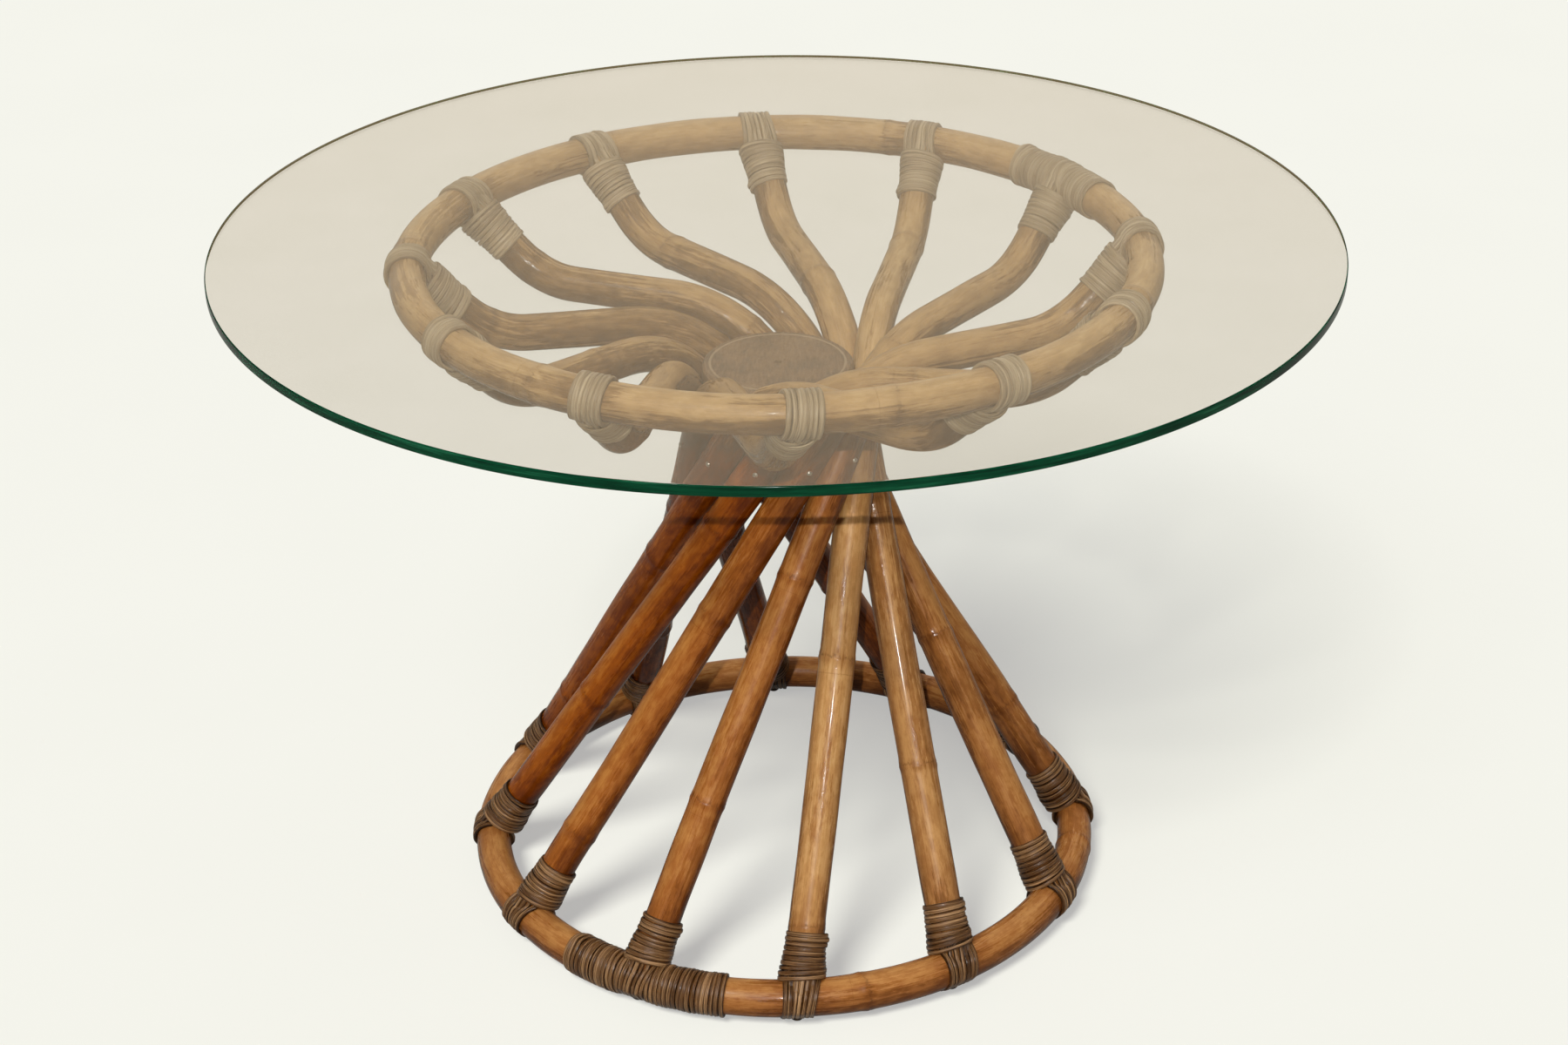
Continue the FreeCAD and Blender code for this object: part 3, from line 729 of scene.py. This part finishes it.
def lay_wrap(build, joint, number, chance):
    """Turns round the cane, over the ends of the sling, wider and slanted along the hoop at its foot."""
    steps, angles, lift, travel = winding(WRAP_TURNS, STRIP_SEAT, chance)
    lift = lift + WRAP_FLARE * (1 - smooth(steps, *WRAP_FLARE_SPAN))
    slant = CANE_RADIUS / math.tan(joint.lean) * (1 - smooth(steps, *WRAP_SLANT_SPAN))
    up = joint.wrap_start() + travel + slant * np.sin(angles)
    middles = joint.middle + joint.into_cane * up[:, None]
    ways = (joint.into_cane, joint.across, joint.aside)
    lay_turns(build, joint, middles, ways, CANE_RADIUS, angles, lift, number, chance)


def lay_splice(build, joint, side, turns, number, chance):
    """Turns round the hoop on one side of a joint, over its splice; the first go under the sling."""
    steps, angles, lift, travel = winding(turns, SPLICE_SEAT, chance)
    lift = lift - SPLICE_SEAT * (1 - smooth(steps, *SPLICE_UNDER_SLING))
    start = (SLING_STRANDS - 1) * STRIP_PITCH / 2
    bearing = (joint.angle + side * (start + travel) / joint.hoop_radius)[:, None]
    out = level_way(bearing)
    middles = out * joint.hoop_radius + UP * joint.middle[2]
    ways = (np.cross(UP, out) * side, out, UP)
    lay_turns(build, joint, middles, ways, HOOP_POLE, angles, lift, number, chance)


def make_binding(joint, index, material):
    chance = np.random.default_rng(BINDING_SEED * joint.seed + index)
    build = Build()
    for number in range(SLING_STRANDS):
        lay_sling(build, joint, number, chance)
    lay_wrap(build, joint, SLING_STRANDS, chance)
    name = f"{joint.name}_binding_{index + 1:02d}"
    dress(build.piece(f"{name}_strips", material, CANE_ANGLES[index]), "pedestal", "binding", name)


def make_splice(joint, material):
    chance = np.random.default_rng(SPLICE_SEED + joint.seed)
    build = Build()
    for number, (side, turns) in enumerate(zip((-1, 1), SPLICE_TURNS[joint.name])):
        lay_splice(build, joint, side, turns, SPLICE_PATTERN + number, chance)
    name = f"{joint.name}_splice_wrap"
    dress(build.piece(f"{name}_strips", material, CANE_ANGLES[-1]), "pedestal", "binding", name)


def make_glass(face_material, edge_material):
    """Round sheet whose edge is ground to a small radius above and below."""
    radius = (GLASS_HIGH.x - GLASS_LOW.x) / 2
    ease = GLASS_EASE
    reach = radius - ease
    bottom, top = GLASS_LOW.z + ease, GLASS_HIGH.z - ease
    quarter = np.linspace(0, math.pi / 2, 5)
    lower = [(reach + ease * math.sin(turn), bottom - ease * math.cos(turn)) for turn in quarter]
    upper = [(reach + ease * math.cos(turn), top + ease * math.sin(turn)) for turn in quarter]
    inner = [(radius * share, GLASS_LOW.z) for share in GLASS_FACE_ROWS]
    outer = [(radius * share, GLASS_HIGH.z) for share in GLASS_FACE_ROWS[::-1]]
    inner.append((radius - 2 * ease, GLASS_LOW.z))
    outer.insert(0, (radius - 2 * ease, GLASS_HIGH.z))
    out, up = np.array(inner + lower + upper + outer).T[..., None]
    angles = np.linspace(0, 2 * math.pi, GLASS_SEGMENTS, endpoint=False)
    points = stacked(out * np.cos(angles), out * np.sin(angles), up)
    build = Build()
    build.add(points, points, np.zeros(points.shape))
    piece = build.piece("glass_sheet", face_material)
    piece.data.materials.append(edge_material)
    edge_rows = range(len(inner), len(inner) + len(lower) + len(upper) - 1)
    for row in edge_rows:
        for face in range(row * GLASS_SEGMENTS, (row + 1) * GLASS_SEGMENTS):
            piece.data.polygons[face].material_index = 1
    dress(piece, "glass", "glass", "glass_top")


# Materials

class Nodes:
    """Short calls for the nodes of one material or world."""

    def __init__(self, owner):
        owner.use_nodes = True
        self.owner = owner
        self.tree = owner.node_tree
        self.tree.nodes.clear()

    def add(self, kind, **settings):
        node = self.tree.nodes.new(f"ShaderNode{kind}")
        for name, value in settings.items():
            setattr(node, name, value)
        return node

    def feed(self, socket, value):
        """Links a socket to an output, or sets it to a plain value."""
        if isinstance(value, bpy.types.NodeSocket):
            self.tree.links.new(value, socket)
        elif isinstance(value, tuple) and len(value) == 3 and socket.type == "RGBA":
            socket.default_value = (*value, 1)
        else:
            socket.default_value = value

    def wired(self, node, *values):
        """The node's first output, with its first sockets set."""
        for socket, value in zip(node.inputs, values):
            self.feed(socket, value)
        return node.outputs[0]

    def named(self, kind, **sockets):
        """First output of a new node with its named sockets set; two underscores stand for a space."""
        node = self.add(kind)
        for name, value in sockets.items():
            self.feed(node.inputs[name.replace("__", " ")], value)
        return node.outputs[0]

    def attribute(self, name):
        return self.add("Attribute", attribute_name=name).outputs["Vector"]

    def parts(self, vector):
        """The three numbers of a vector."""
        node = self.add("SeparateXYZ")
        self.feed(node.inputs[0], vector)
        return node.outputs[:3]

    def place(self):
        return self.add("TexCoord").outputs["Object"]

    def ray(self, kind):
        """1 for rays of the named kind, else 0."""
        return self.add("LightPath").outputs[f"Is {kind} Ray"]

    def noise(self, vector, scale, detail, rough, warp=0.0):
        """Noise whose scale is one number, or three that stretch it."""
        if isinstance(scale, tuple):
            vector = self.wired(self.add("VectorMath", operation="MULTIPLY"), vector, scale)
            scale = 1.0
        return self.named(
            "TexNoise", Vector=vector, Scale=scale, Detail=detail, Roughness=rough, Distortion=warp
        )

    def maths(self, operation, first, second=0.0):
        return self.wired(self.add("Math", operation=operation), first, second)

    def total(self, start, *terms):
        """A start value with (value, weight) terms added to it."""
        for value, weight in terms:
            start = self.wired(self.add("Math", operation="MULTIPLY_ADD"), value, weight, start)
        return start

    def remap(self, value, low, high, to_low=0.0, to_high=1.0):
        node = self.add("MapRange", interpolation_type="SMOOTHSTEP")
        return self.wired(node, value, low, high, to_low, to_high)

    def ramp(self, factor, *stops):
        """Colour ramp through (place, colour) stops."""
        node = self.add("ValToRGB")
        self.feed(node.inputs[0], factor)
        elements = node.color_ramp.elements
        while len(elements) < len(stops):
            elements.new(0.5)
        for element, (place, colour) in zip(elements, stops):
            element.position = place
            element.color = (*colour, 1)
        return node.outputs[0]

    def mix(self, factor, first, second):
        node = self.add("Mix", data_type="RGBA")
        self.feed(node.inputs[0], factor)
        self.feed(node.inputs[6], first)
        self.feed(node.inputs[7], second)
        return node.outputs[2]

    def bump(self, height, distance, strength=1.0):
        return self.named("Bump", Strength=strength, Distance=distance, Height=height)

    def surface(self, **sockets):
        return self.named("BsdfPrincipled", **sockets)

    def either(self, factor, first, second):
        """Mix of two shaders."""
        return self.wired(self.add("MixShader"), factor, first, second)

    def finish(self, shader, kind="OutputMaterial"):
        self.tree.links.new(shader, self.add(kind).inputs["Surface"])
        return self.owner


def material_nodes(name):
    return Nodes(bpy.data.materials.new(name))


def cane_finish(name):
    """Rattan pole under old lacquer: orange where it holds, paler and duller where it is worn.

    Faded stretches go from orange to straw, and their worn patches stand out more. A dark, broken line
    follows each growth ring.
    """
    nodes = material_nodes(name)
    pole = nodes.attribute("straight")
    # The tone carries painted light from above, painted shade below and at the waist, and stains
    from_ring, tone, fade = nodes.parts(nodes.attribute("wear"))
    cloud = nodes.noise(pole, (40, 40, 7), 2, 0.5)
    ragged = nodes.noise(pole, (420, 420, 60), 4, 0.7)
    streak = nodes.noise(pole, (300, 300, 6), 3, 0.55)
    fibre = nodes.noise(pole, (1100, 1100, 16), 3, 0.6)
    blotch = nodes.noise(pole, (120, 120, 48), 5, 0.66, 0.2)
    dash = nodes.noise(pole, (900, 900, 34), 2, 0.6)
    pebble = nodes.noise(pole, 260.0, 3, 0.6)
    coverage = nodes.total(-0.82, (tone, 0.6), (cloud, 1.2), (ragged, 0.55), (streak, 0.5))
    worn = nodes.remap(coverage, 0.47, 0.58)
    rough_ring = nodes.total(from_ring, (nodes.maths("SUBTRACT", ragged, 0.5), 14 * MM))
    band = nodes.remap(nodes.maths("ABSOLUTE", rough_ring), 1.0 * MM, 8 * MM, 1, 0)
    patch = nodes.maths("SUBTRACT", worn, 0.6)
    contrast = nodes.total(0.08, (fade, 0.17))
    level = nodes.total(
        nodes.maths("SUBTRACT", tone, 0.29),
        (patch, contrast),
        (nodes.remap(blotch, 0.36, 0.64), 0.18),
        (streak, 0.16),
        (fibre, 0.34),
        (nodes.remap(dash, 0.6, 0.72), -0.14),
        (band, -0.1),
    )
    lacquered = nodes.ramp(
        level,
        (0.0, (0.065, 0.01, 0.0)),
        (0.25, (0.17, 0.033, 0.001)),
        (0.5, (0.33, 0.08, 0.004)),
        (0.75, (0.50, 0.185, 0.03)),
        (1.0, (0.66, 0.345, 0.11)),
    )
    faded = nodes.ramp(
        level,
        (0.0, (0.08, 0.034, 0.008)),
        (0.25, (0.19, 0.096, 0.03)),
        (0.5, (0.35, 0.20, 0.075)),
        (0.75, (0.53, 0.33, 0.138)),
        (1.0, (0.70, 0.485, 0.24)),
    )
    colour = nodes.mix(fade, lacquered, faded)
    ragged_ring = nodes.total(nodes.maths("SUBTRACT", rough_ring, 4 * MM), (fibre, 4 * MM))
    line = nodes.maths("ABSOLUTE", ragged_ring)
    near_line = nodes.remap(line, 0.3 * MM, 1.4 * MM, 0.5, 0)
    broken = nodes.maths("MULTIPLY", near_line, nodes.remap(streak, 0.4, 0.6))
    colour = nodes.mix(broken, colour, (0.08, 0.03, 0.01))
    height = nodes.total(0.0, (blotch, 0.4), (pebble, 0.4), (ragged, 0.1), (fibre, 0.07), (worn, -0.15))
    shader = nodes.surface(
        Base__Color=colour,
        Roughness=nodes.total(0.08, (worn, 0.2), (blotch, 0.1)),
        Specular__IOR__Level=0.16,
        Normal=nodes.bump(height, 0.6 * MM),
        Coat__Weight=0.05,
        Coat__Roughness=0.08,
    )
    return nodes.finish(shader)


def binding_finish():
    """Split strips of peel: brown, with paler and darker fibres and edges painted darker as shade in the
    grooves; faded strips are olive grey.
    """
    nodes = material_nodes("binding_peel")
    strip = nodes.attribute("straight")
    ridge, tone, fade = nodes.parts(nodes.attribute("wear"))
    from_crest = nodes.maths("ABSOLUTE", nodes.parts(strip)[0])
    # Painted shade: each strip darkens towards its edges, as in the grooves between turns, which leaves
    # its crest lighter
    groove = nodes.remap(from_crest, 0.3 * STRIP_WIDTH, 0.5 * STRIP_WIDTH)
    fibre = nodes.noise(strip, (1500, 1500, 14), 3, 0.7)
    cloud = nodes.noise(strip, (160, 160, 22), 4, 0.6)
    level = nodes.total(
        -0.66, (fibre, 1.6), (cloud, 0.6), (tone, 0.2), (ridge, 0.12), (groove, -0.34)
    )
    brown = nodes.ramp(
        level,
        (0.15, (0.02, 0.007, 0.001)),
        (0.5, (0.122, 0.051, 0.015)),
        (0.85, (0.43, 0.245, 0.11)),
    )
    olive = nodes.ramp(
        nodes.total(nodes.maths("ADD", level, 0.02), (groove, 0.24)),
        (0.15, (0.12, 0.075, 0.036)),
        (0.5, (0.33, 0.24, 0.135)),
        (0.85, (0.58, 0.46, 0.30)),
    )
    shader = nodes.surface(
        Base__Color=nodes.mix(fade, brown, olive),
        Roughness=nodes.remap(cloud, 0.3, 0.7, 0.2, 0.38),
        Specular__IOR__Level=0.3,
        Normal=nodes.bump(fibre, 0.45 * MM),
        Coat__Weight=0.08,
        Coat__Roughness=0.15,
    )
    return nodes.finish(shader)


def hub_finish():
    """Turned block, dull and scratched, with a painted highlight: a pale line near its rim where a rounded
    edge catches light.
    """
    nodes = material_nodes("hub_wood")
    place = nodes.place()
    grain = nodes.noise(place, (420, 60, 60), 5, 0.6)
    cloud = nodes.noise(place, 24.0, 4, 0.6)
    scratch = nodes.noise(place, (90, 1500, 90), 2, 0.5, 0.3)
    spot = nodes.noise(place, 130.0, 2, 0.5)
    tone = nodes.total(0.0, (grain, 0.45), (cloud, 0.55))
    colour = nodes.ramp(
        tone, (0.35, (0.085, 0.045, 0.02)), (0.5, (0.20, 0.115, 0.055)), (0.66, (0.33, 0.21, 0.11))
    )
    colour = nodes.mix(nodes.remap(scratch, 0.62, 0.68, 0, 0.5), colour, (0.45, 0.33, 0.2))
    across, along, _ = nodes.parts(place)
    across_squared = nodes.maths("MULTIPLY", across, across)
    from_axis = nodes.maths("SQRT", nodes.total(across_squared, (along, along)))
    # Painted highlight: a pale ring near the rim, standing in for light caught by a rounded edge
    from_hub_highlight = nodes.maths("ABSOLUTE", nodes.maths("SUBTRACT", from_axis, HUB_HIGHLIGHT_RADIUS))
    colour = nodes.mix(nodes.remap(from_hub_highlight, 0.5 * MM, 1.8 * MM, 0.55, 0), colour, (0.52, 0.40, 0.25))
    colour = nodes.mix(nodes.remap(spot, 0.7, 0.76, 0, 0.8), colour, (0.03, 0.015, 0.008))
    shader = nodes.surface(
        Base__Color=colour,
        Roughness=nodes.remap(cloud, 0.3, 0.7, 0.42, 0.62),
        Normal=nodes.bump(grain, 0.2 * MM, 0.5),
    )
    return nodes.finish(shader)


def nail_finish(name, dull, bright):
    """Plated steel, worn bright on the domes and dulled in patches."""
    nodes = material_nodes(name)
    worn = nodes.noise(nodes.place(), 420.0, 4, 0.6)
    colour = nodes.ramp(worn, (0.35, dull), (0.6, bright))
    shader = nodes.surface(
        Base__Color=colour,
        Metallic=1.0,
        Roughness=nodes.remap(worn, 0.3, 0.7, 0.42, 0.22),
        Normal=nodes.bump(worn, 0.05 * MM, 0.4),
    )
    return nodes.finish(shader)


def glass_finish():
    """Clear sheet with a faint film on it; lamps and scattered light pass straight through."""
    nodes = material_nodes("glass_clear")
    film = nodes.noise(nodes.place(), 9.0, 5, 0.6)
    clear = nodes.surface(
        Base__Color=nodes.ramp(film, (0.3, (0.775, 0.767, 0.737)), (0.7, (0.804, 0.792, 0.769))),
        Roughness=0.0,
        IOR=1.5,
        Transmission__Weight=1.0,
    )
    passing = nodes.named("BsdfTransparent", Color=(0.95, 0.95, 0.93))
    straight_on = nodes.maths("MAXIMUM", nodes.ray("Shadow"), nodes.ray("Diffuse"))
    return nodes.finish(nodes.either(straight_on, clear, passing))


def glass_edge_finish():
    """Ground edge of the sheet, deep green where light has come a long way through it.

    Light that enters its upper part goes on through the sheet, so its shadow is a thin line.
    """
    nodes = material_nodes("glass_edge")
    place = nodes.place()
    streak = nodes.noise(place, (14, 14, 260), 4, 0.6)
    colour = nodes.ramp(
        streak, (0.35, (0.0, 0.022, 0.009)), (0.55, (0.001, 0.05, 0.02)), (0.7, (0.01, 0.10, 0.045))
    )
    shader = nodes.surface(
        Base__Color=colour,
        Roughness=nodes.remap(streak, 0.3, 0.7, 0.08, 0.2),
        Specular__IOR__Level=0.12,
    )
    shadow_top = GLASS_LOW.z + GLASS_SHADOW_SHARE * (GLASS_HIGH.z - GLASS_LOW.z)
    upper_part = nodes.maths("GREATER_THAN", nodes.parts(place)[2], shadow_top)
    lets_pass = nodes.maths("MULTIPLY", upper_part, nodes.ray("Shadow"))
    return nodes.finish(nodes.either(lets_pass, shader, nodes.named("BsdfTransparent")))


# Photograph's view, solved from the rims of the glass and hoops in an image of 1800 by 1200 pixels
CAMERA_PLACE = np.array((0.0510, -2.4993, 1.7072))
CAMERA_YAW = math.radians(-1.072)
CAMERA_PITCH = math.radians(27.721)
CAMERA_ROLL = math.radians(-0.75)
CAMERA_LENS = 62.846
CAMERA_SENSOR = 36.0


def make_camera():
    data = bpy.data.cameras.new("camera")
    data.sensor_fit = "HORIZONTAL"
    data.sensor_width = CAMERA_SENSOR
    data.lens = CAMERA_LENS
    camera = new_object("camera", data)
    level = np.array((math.cos(CAMERA_YAW), -math.sin(CAMERA_YAW), 0))
    ahead_level = np.array((math.sin(CAMERA_YAW), math.cos(CAMERA_YAW), 0))
    ahead = ahead_level * math.cos(CAMERA_PITCH) - UP * math.sin(CAMERA_PITCH)
    top = ahead_level * math.sin(CAMERA_PITCH) + UP * math.cos(CAMERA_PITCH)
    right = level * math.cos(CAMERA_ROLL) + top * math.sin(CAMERA_ROLL)
    up = top * math.cos(CAMERA_ROLL) - level * math.sin(CAMERA_ROLL)
    camera.matrix_world = Matrix(
        [[right[row], up[row], -ahead[row], CAMERA_PLACE[row]] for row in range(3)] + [[0, 0, 0, 1]]
    )
    bpy.context.scene.camera = camera


# Floor, lamps and surroundings
PALE = (0.905, 0.905, 0.838)
FLOOR_LIGHT = (0.97, 0.97, 0.96)
FLOOR_BOUNCE = (0.24, 0.23, 0.21)
AMBIENT = (0.15, 0.147, 0.14)
GLASS_REFLECTION = (0.80, 0.56, 0.29)
FLOOR_HALF = 30.0
FLOOR_GLOW = 0.44
FLOOR_IN_GLOSS = 0.2
FLASH_OFFSET = np.array((-0.05, 0.0, 0.135))
FLASH_POWER = 150
FLASH_RADIUS = 6 * MM


def make_floor():
    """Pale floor, clear from below so that the underside can be looked at.

    Part of its paleness, where it is seen, is a steady glow, so that shadows on it stay light. It throws
    less light back at the canes than it shows.
    """
    nodes = material_nodes("floor_pale")
    mottle = nodes.noise(nodes.place(), 3.0, 3, 0.5)
    colour = nodes.ramp(mottle, (0.3, (0.91, 0.91, 0.79)), (0.7, (0.925, 0.925, 0.805)))
    seen = nodes.maths("MAXIMUM", nodes.ray("Camera"), nodes.ray("Transmission"))
    seen = nodes.maths("MAXIMUM", seen, nodes.ray("Singular"))
    in_gloss = nodes.maths("MULTIPLY", nodes.ray("Glossy"), FLOOR_IN_GLOSS)
    seen = nodes.maths("MAXIMUM", seen, in_gloss)
    colour = nodes.mix(seen, FLOOR_BOUNCE, colour)
    lit = nodes.surface(Base__Color=colour, Roughness=0.9, Specular__IOR__Level=0.0)
    glow = nodes.named("Emission", Color=FLOOR_LIGHT)
    pale = nodes.either(nodes.maths("MULTIPLY", seen, FLOOR_GLOW), lit, glow)
    below = nodes.named("BsdfTransparent")
    material = nodes.finish(nodes.either(nodes.add("NewGeometry").outputs["Backfacing"], pale, below))
    mesh = bpy.data.meshes.new("floor")
    corners = [(x * FLOOR_HALF, y * FLOOR_HALF, 0) for x, y in ((-1, -1), (1, -1), (1, 1), (-1, 1))]
    mesh.from_pydata(corners, [], [(0, 1, 2, 3)])
    mesh.materials.append(material)
    floor = new_object("floor", mesh)
    return floor


def add_sun(name, strength, spread, azimuth, elevation, in_gloss=False):
    """Distant lamp; azimuth 0 shines from the front and turns towards +X.

    It shows in the gloss of the lacquer and in the glass only if in_gloss is set.
    """
    data = bpy.data.lights.new(name, "SUN")
    data.energy = strength
    data.angle = math.radians(spread)
    lamp = new_object(name, data)
    lamp.visible_glossy = in_gloss
    lamp.visible_transmission = in_gloss
    around, above = math.radians(azimuth), math.radians(elevation)
    lamp.rotation_euler = (math.pi / 2 - above, 0, around)
    return lamp


def add_flash(name, place):
    """Small lamp beside the camera, which throws the thin shadow of the glass edge on the canes."""
    data = bpy.data.lights.new(name, "POINT")
    data.energy = FLASH_POWER
    data.shadow_soft_size = FLASH_RADIUS
    lamp = new_object(name, data)
    lamp.location = place
    return lamp


def shine_on(lamp, pieces):
    """Keeps a lamp's light to the given pieces."""
    lit = bpy.data.collections.new(f"lit_by_{lamp.name}")
    for piece in pieces:
        lit.objects.link(piece)
    lamp.light_linking.receiver_collection = lit


def make_world():
    """Pale where it is seen, dim where it lights the table, and warm where the glass mirrors it."""
    world = bpy.data.worlds.new("studio")
    bpy.context.scene.world = world
    nodes = Nodes(world)
    colour = nodes.mix(nodes.ray("Singular"), AMBIENT, GLASS_REFLECTION)
    seen = nodes.maths("MAXIMUM", nodes.ray("Camera"), nodes.ray("Transmission"))
    colour = nodes.mix(seen, colour, PALE)
    nodes.finish(nodes.named("Background", Color=colour), "OutputWorld")


def repaint(material, *nodes):
    """Gives parts of the frame that show a finish of their own."""
    for name in nodes:
        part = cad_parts[name]
        part.data.materials.clear()
        part.data.materials.append(material)


# The table
cane_material = cane_finish("cane_lacquer")
hoop_material = cane_finish("hoop_lacquer")
binding_material = binding_finish()

make_glass(glass_finish(), glass_edge_finish())
for cane_index in range(CANE_COUNT):
    make_cane(cane_index, cane_material)
make_hoop(JOINTS["base"], tone=0.35, fade=0.36, seed=7, material=hoop_material)
make_hoop(JOINTS["upper"], tone=0.44, fade=1.0, seed=11, material=hoop_material)
for joint in JOINTS.values():
    for cane_index in range(CANE_COUNT):
        make_binding(joint, cane_index, binding_material)
    make_splice(joint, binding_material)
repaint(hub_finish(), "hub")
aged_nail = nail_finish("nail_plating", (0.3, 0.26, 0.2), (0.62, 0.58, 0.52))
repaint(aged_nail, "hub_nails", "base_screws", "upper_screws")
repaint(nail_finish("glide_plating", (0.62, 0.60, 0.56), (0.94, 0.93, 0.90)), "glide_nails")

# View and light
make_camera()
make_world()
table_pieces = [piece for piece in bpy.data.objects if piece.type == "MESH"]
floor = make_floor()
add_sun("key", strength=1.05, spread=20, azimuth=-26, elevation=50)
glint = add_sun("glint", strength=0.45, spread=2, azimuth=-26, elevation=55, in_gloss=True)
shine_on(glint, table_pieces)
shine_on(add_sun("floor_key", strength=2.2, spread=20, azimuth=-26, elevation=50), [floor])
shine_on(add_sun("back_fill", strength=0.9, spread=60, azimuth=150, elevation=55), table_pieces)
shine_on(add_sun("low_fill", strength=1.0, spread=30, azimuth=180, elevation=12), table_pieces)
shine_on(add_flash("flash", CAMERA_PLACE + FLASH_OFFSET), table_pieces)
bpy.context.scene.view_settings.view_transform = "Standard"
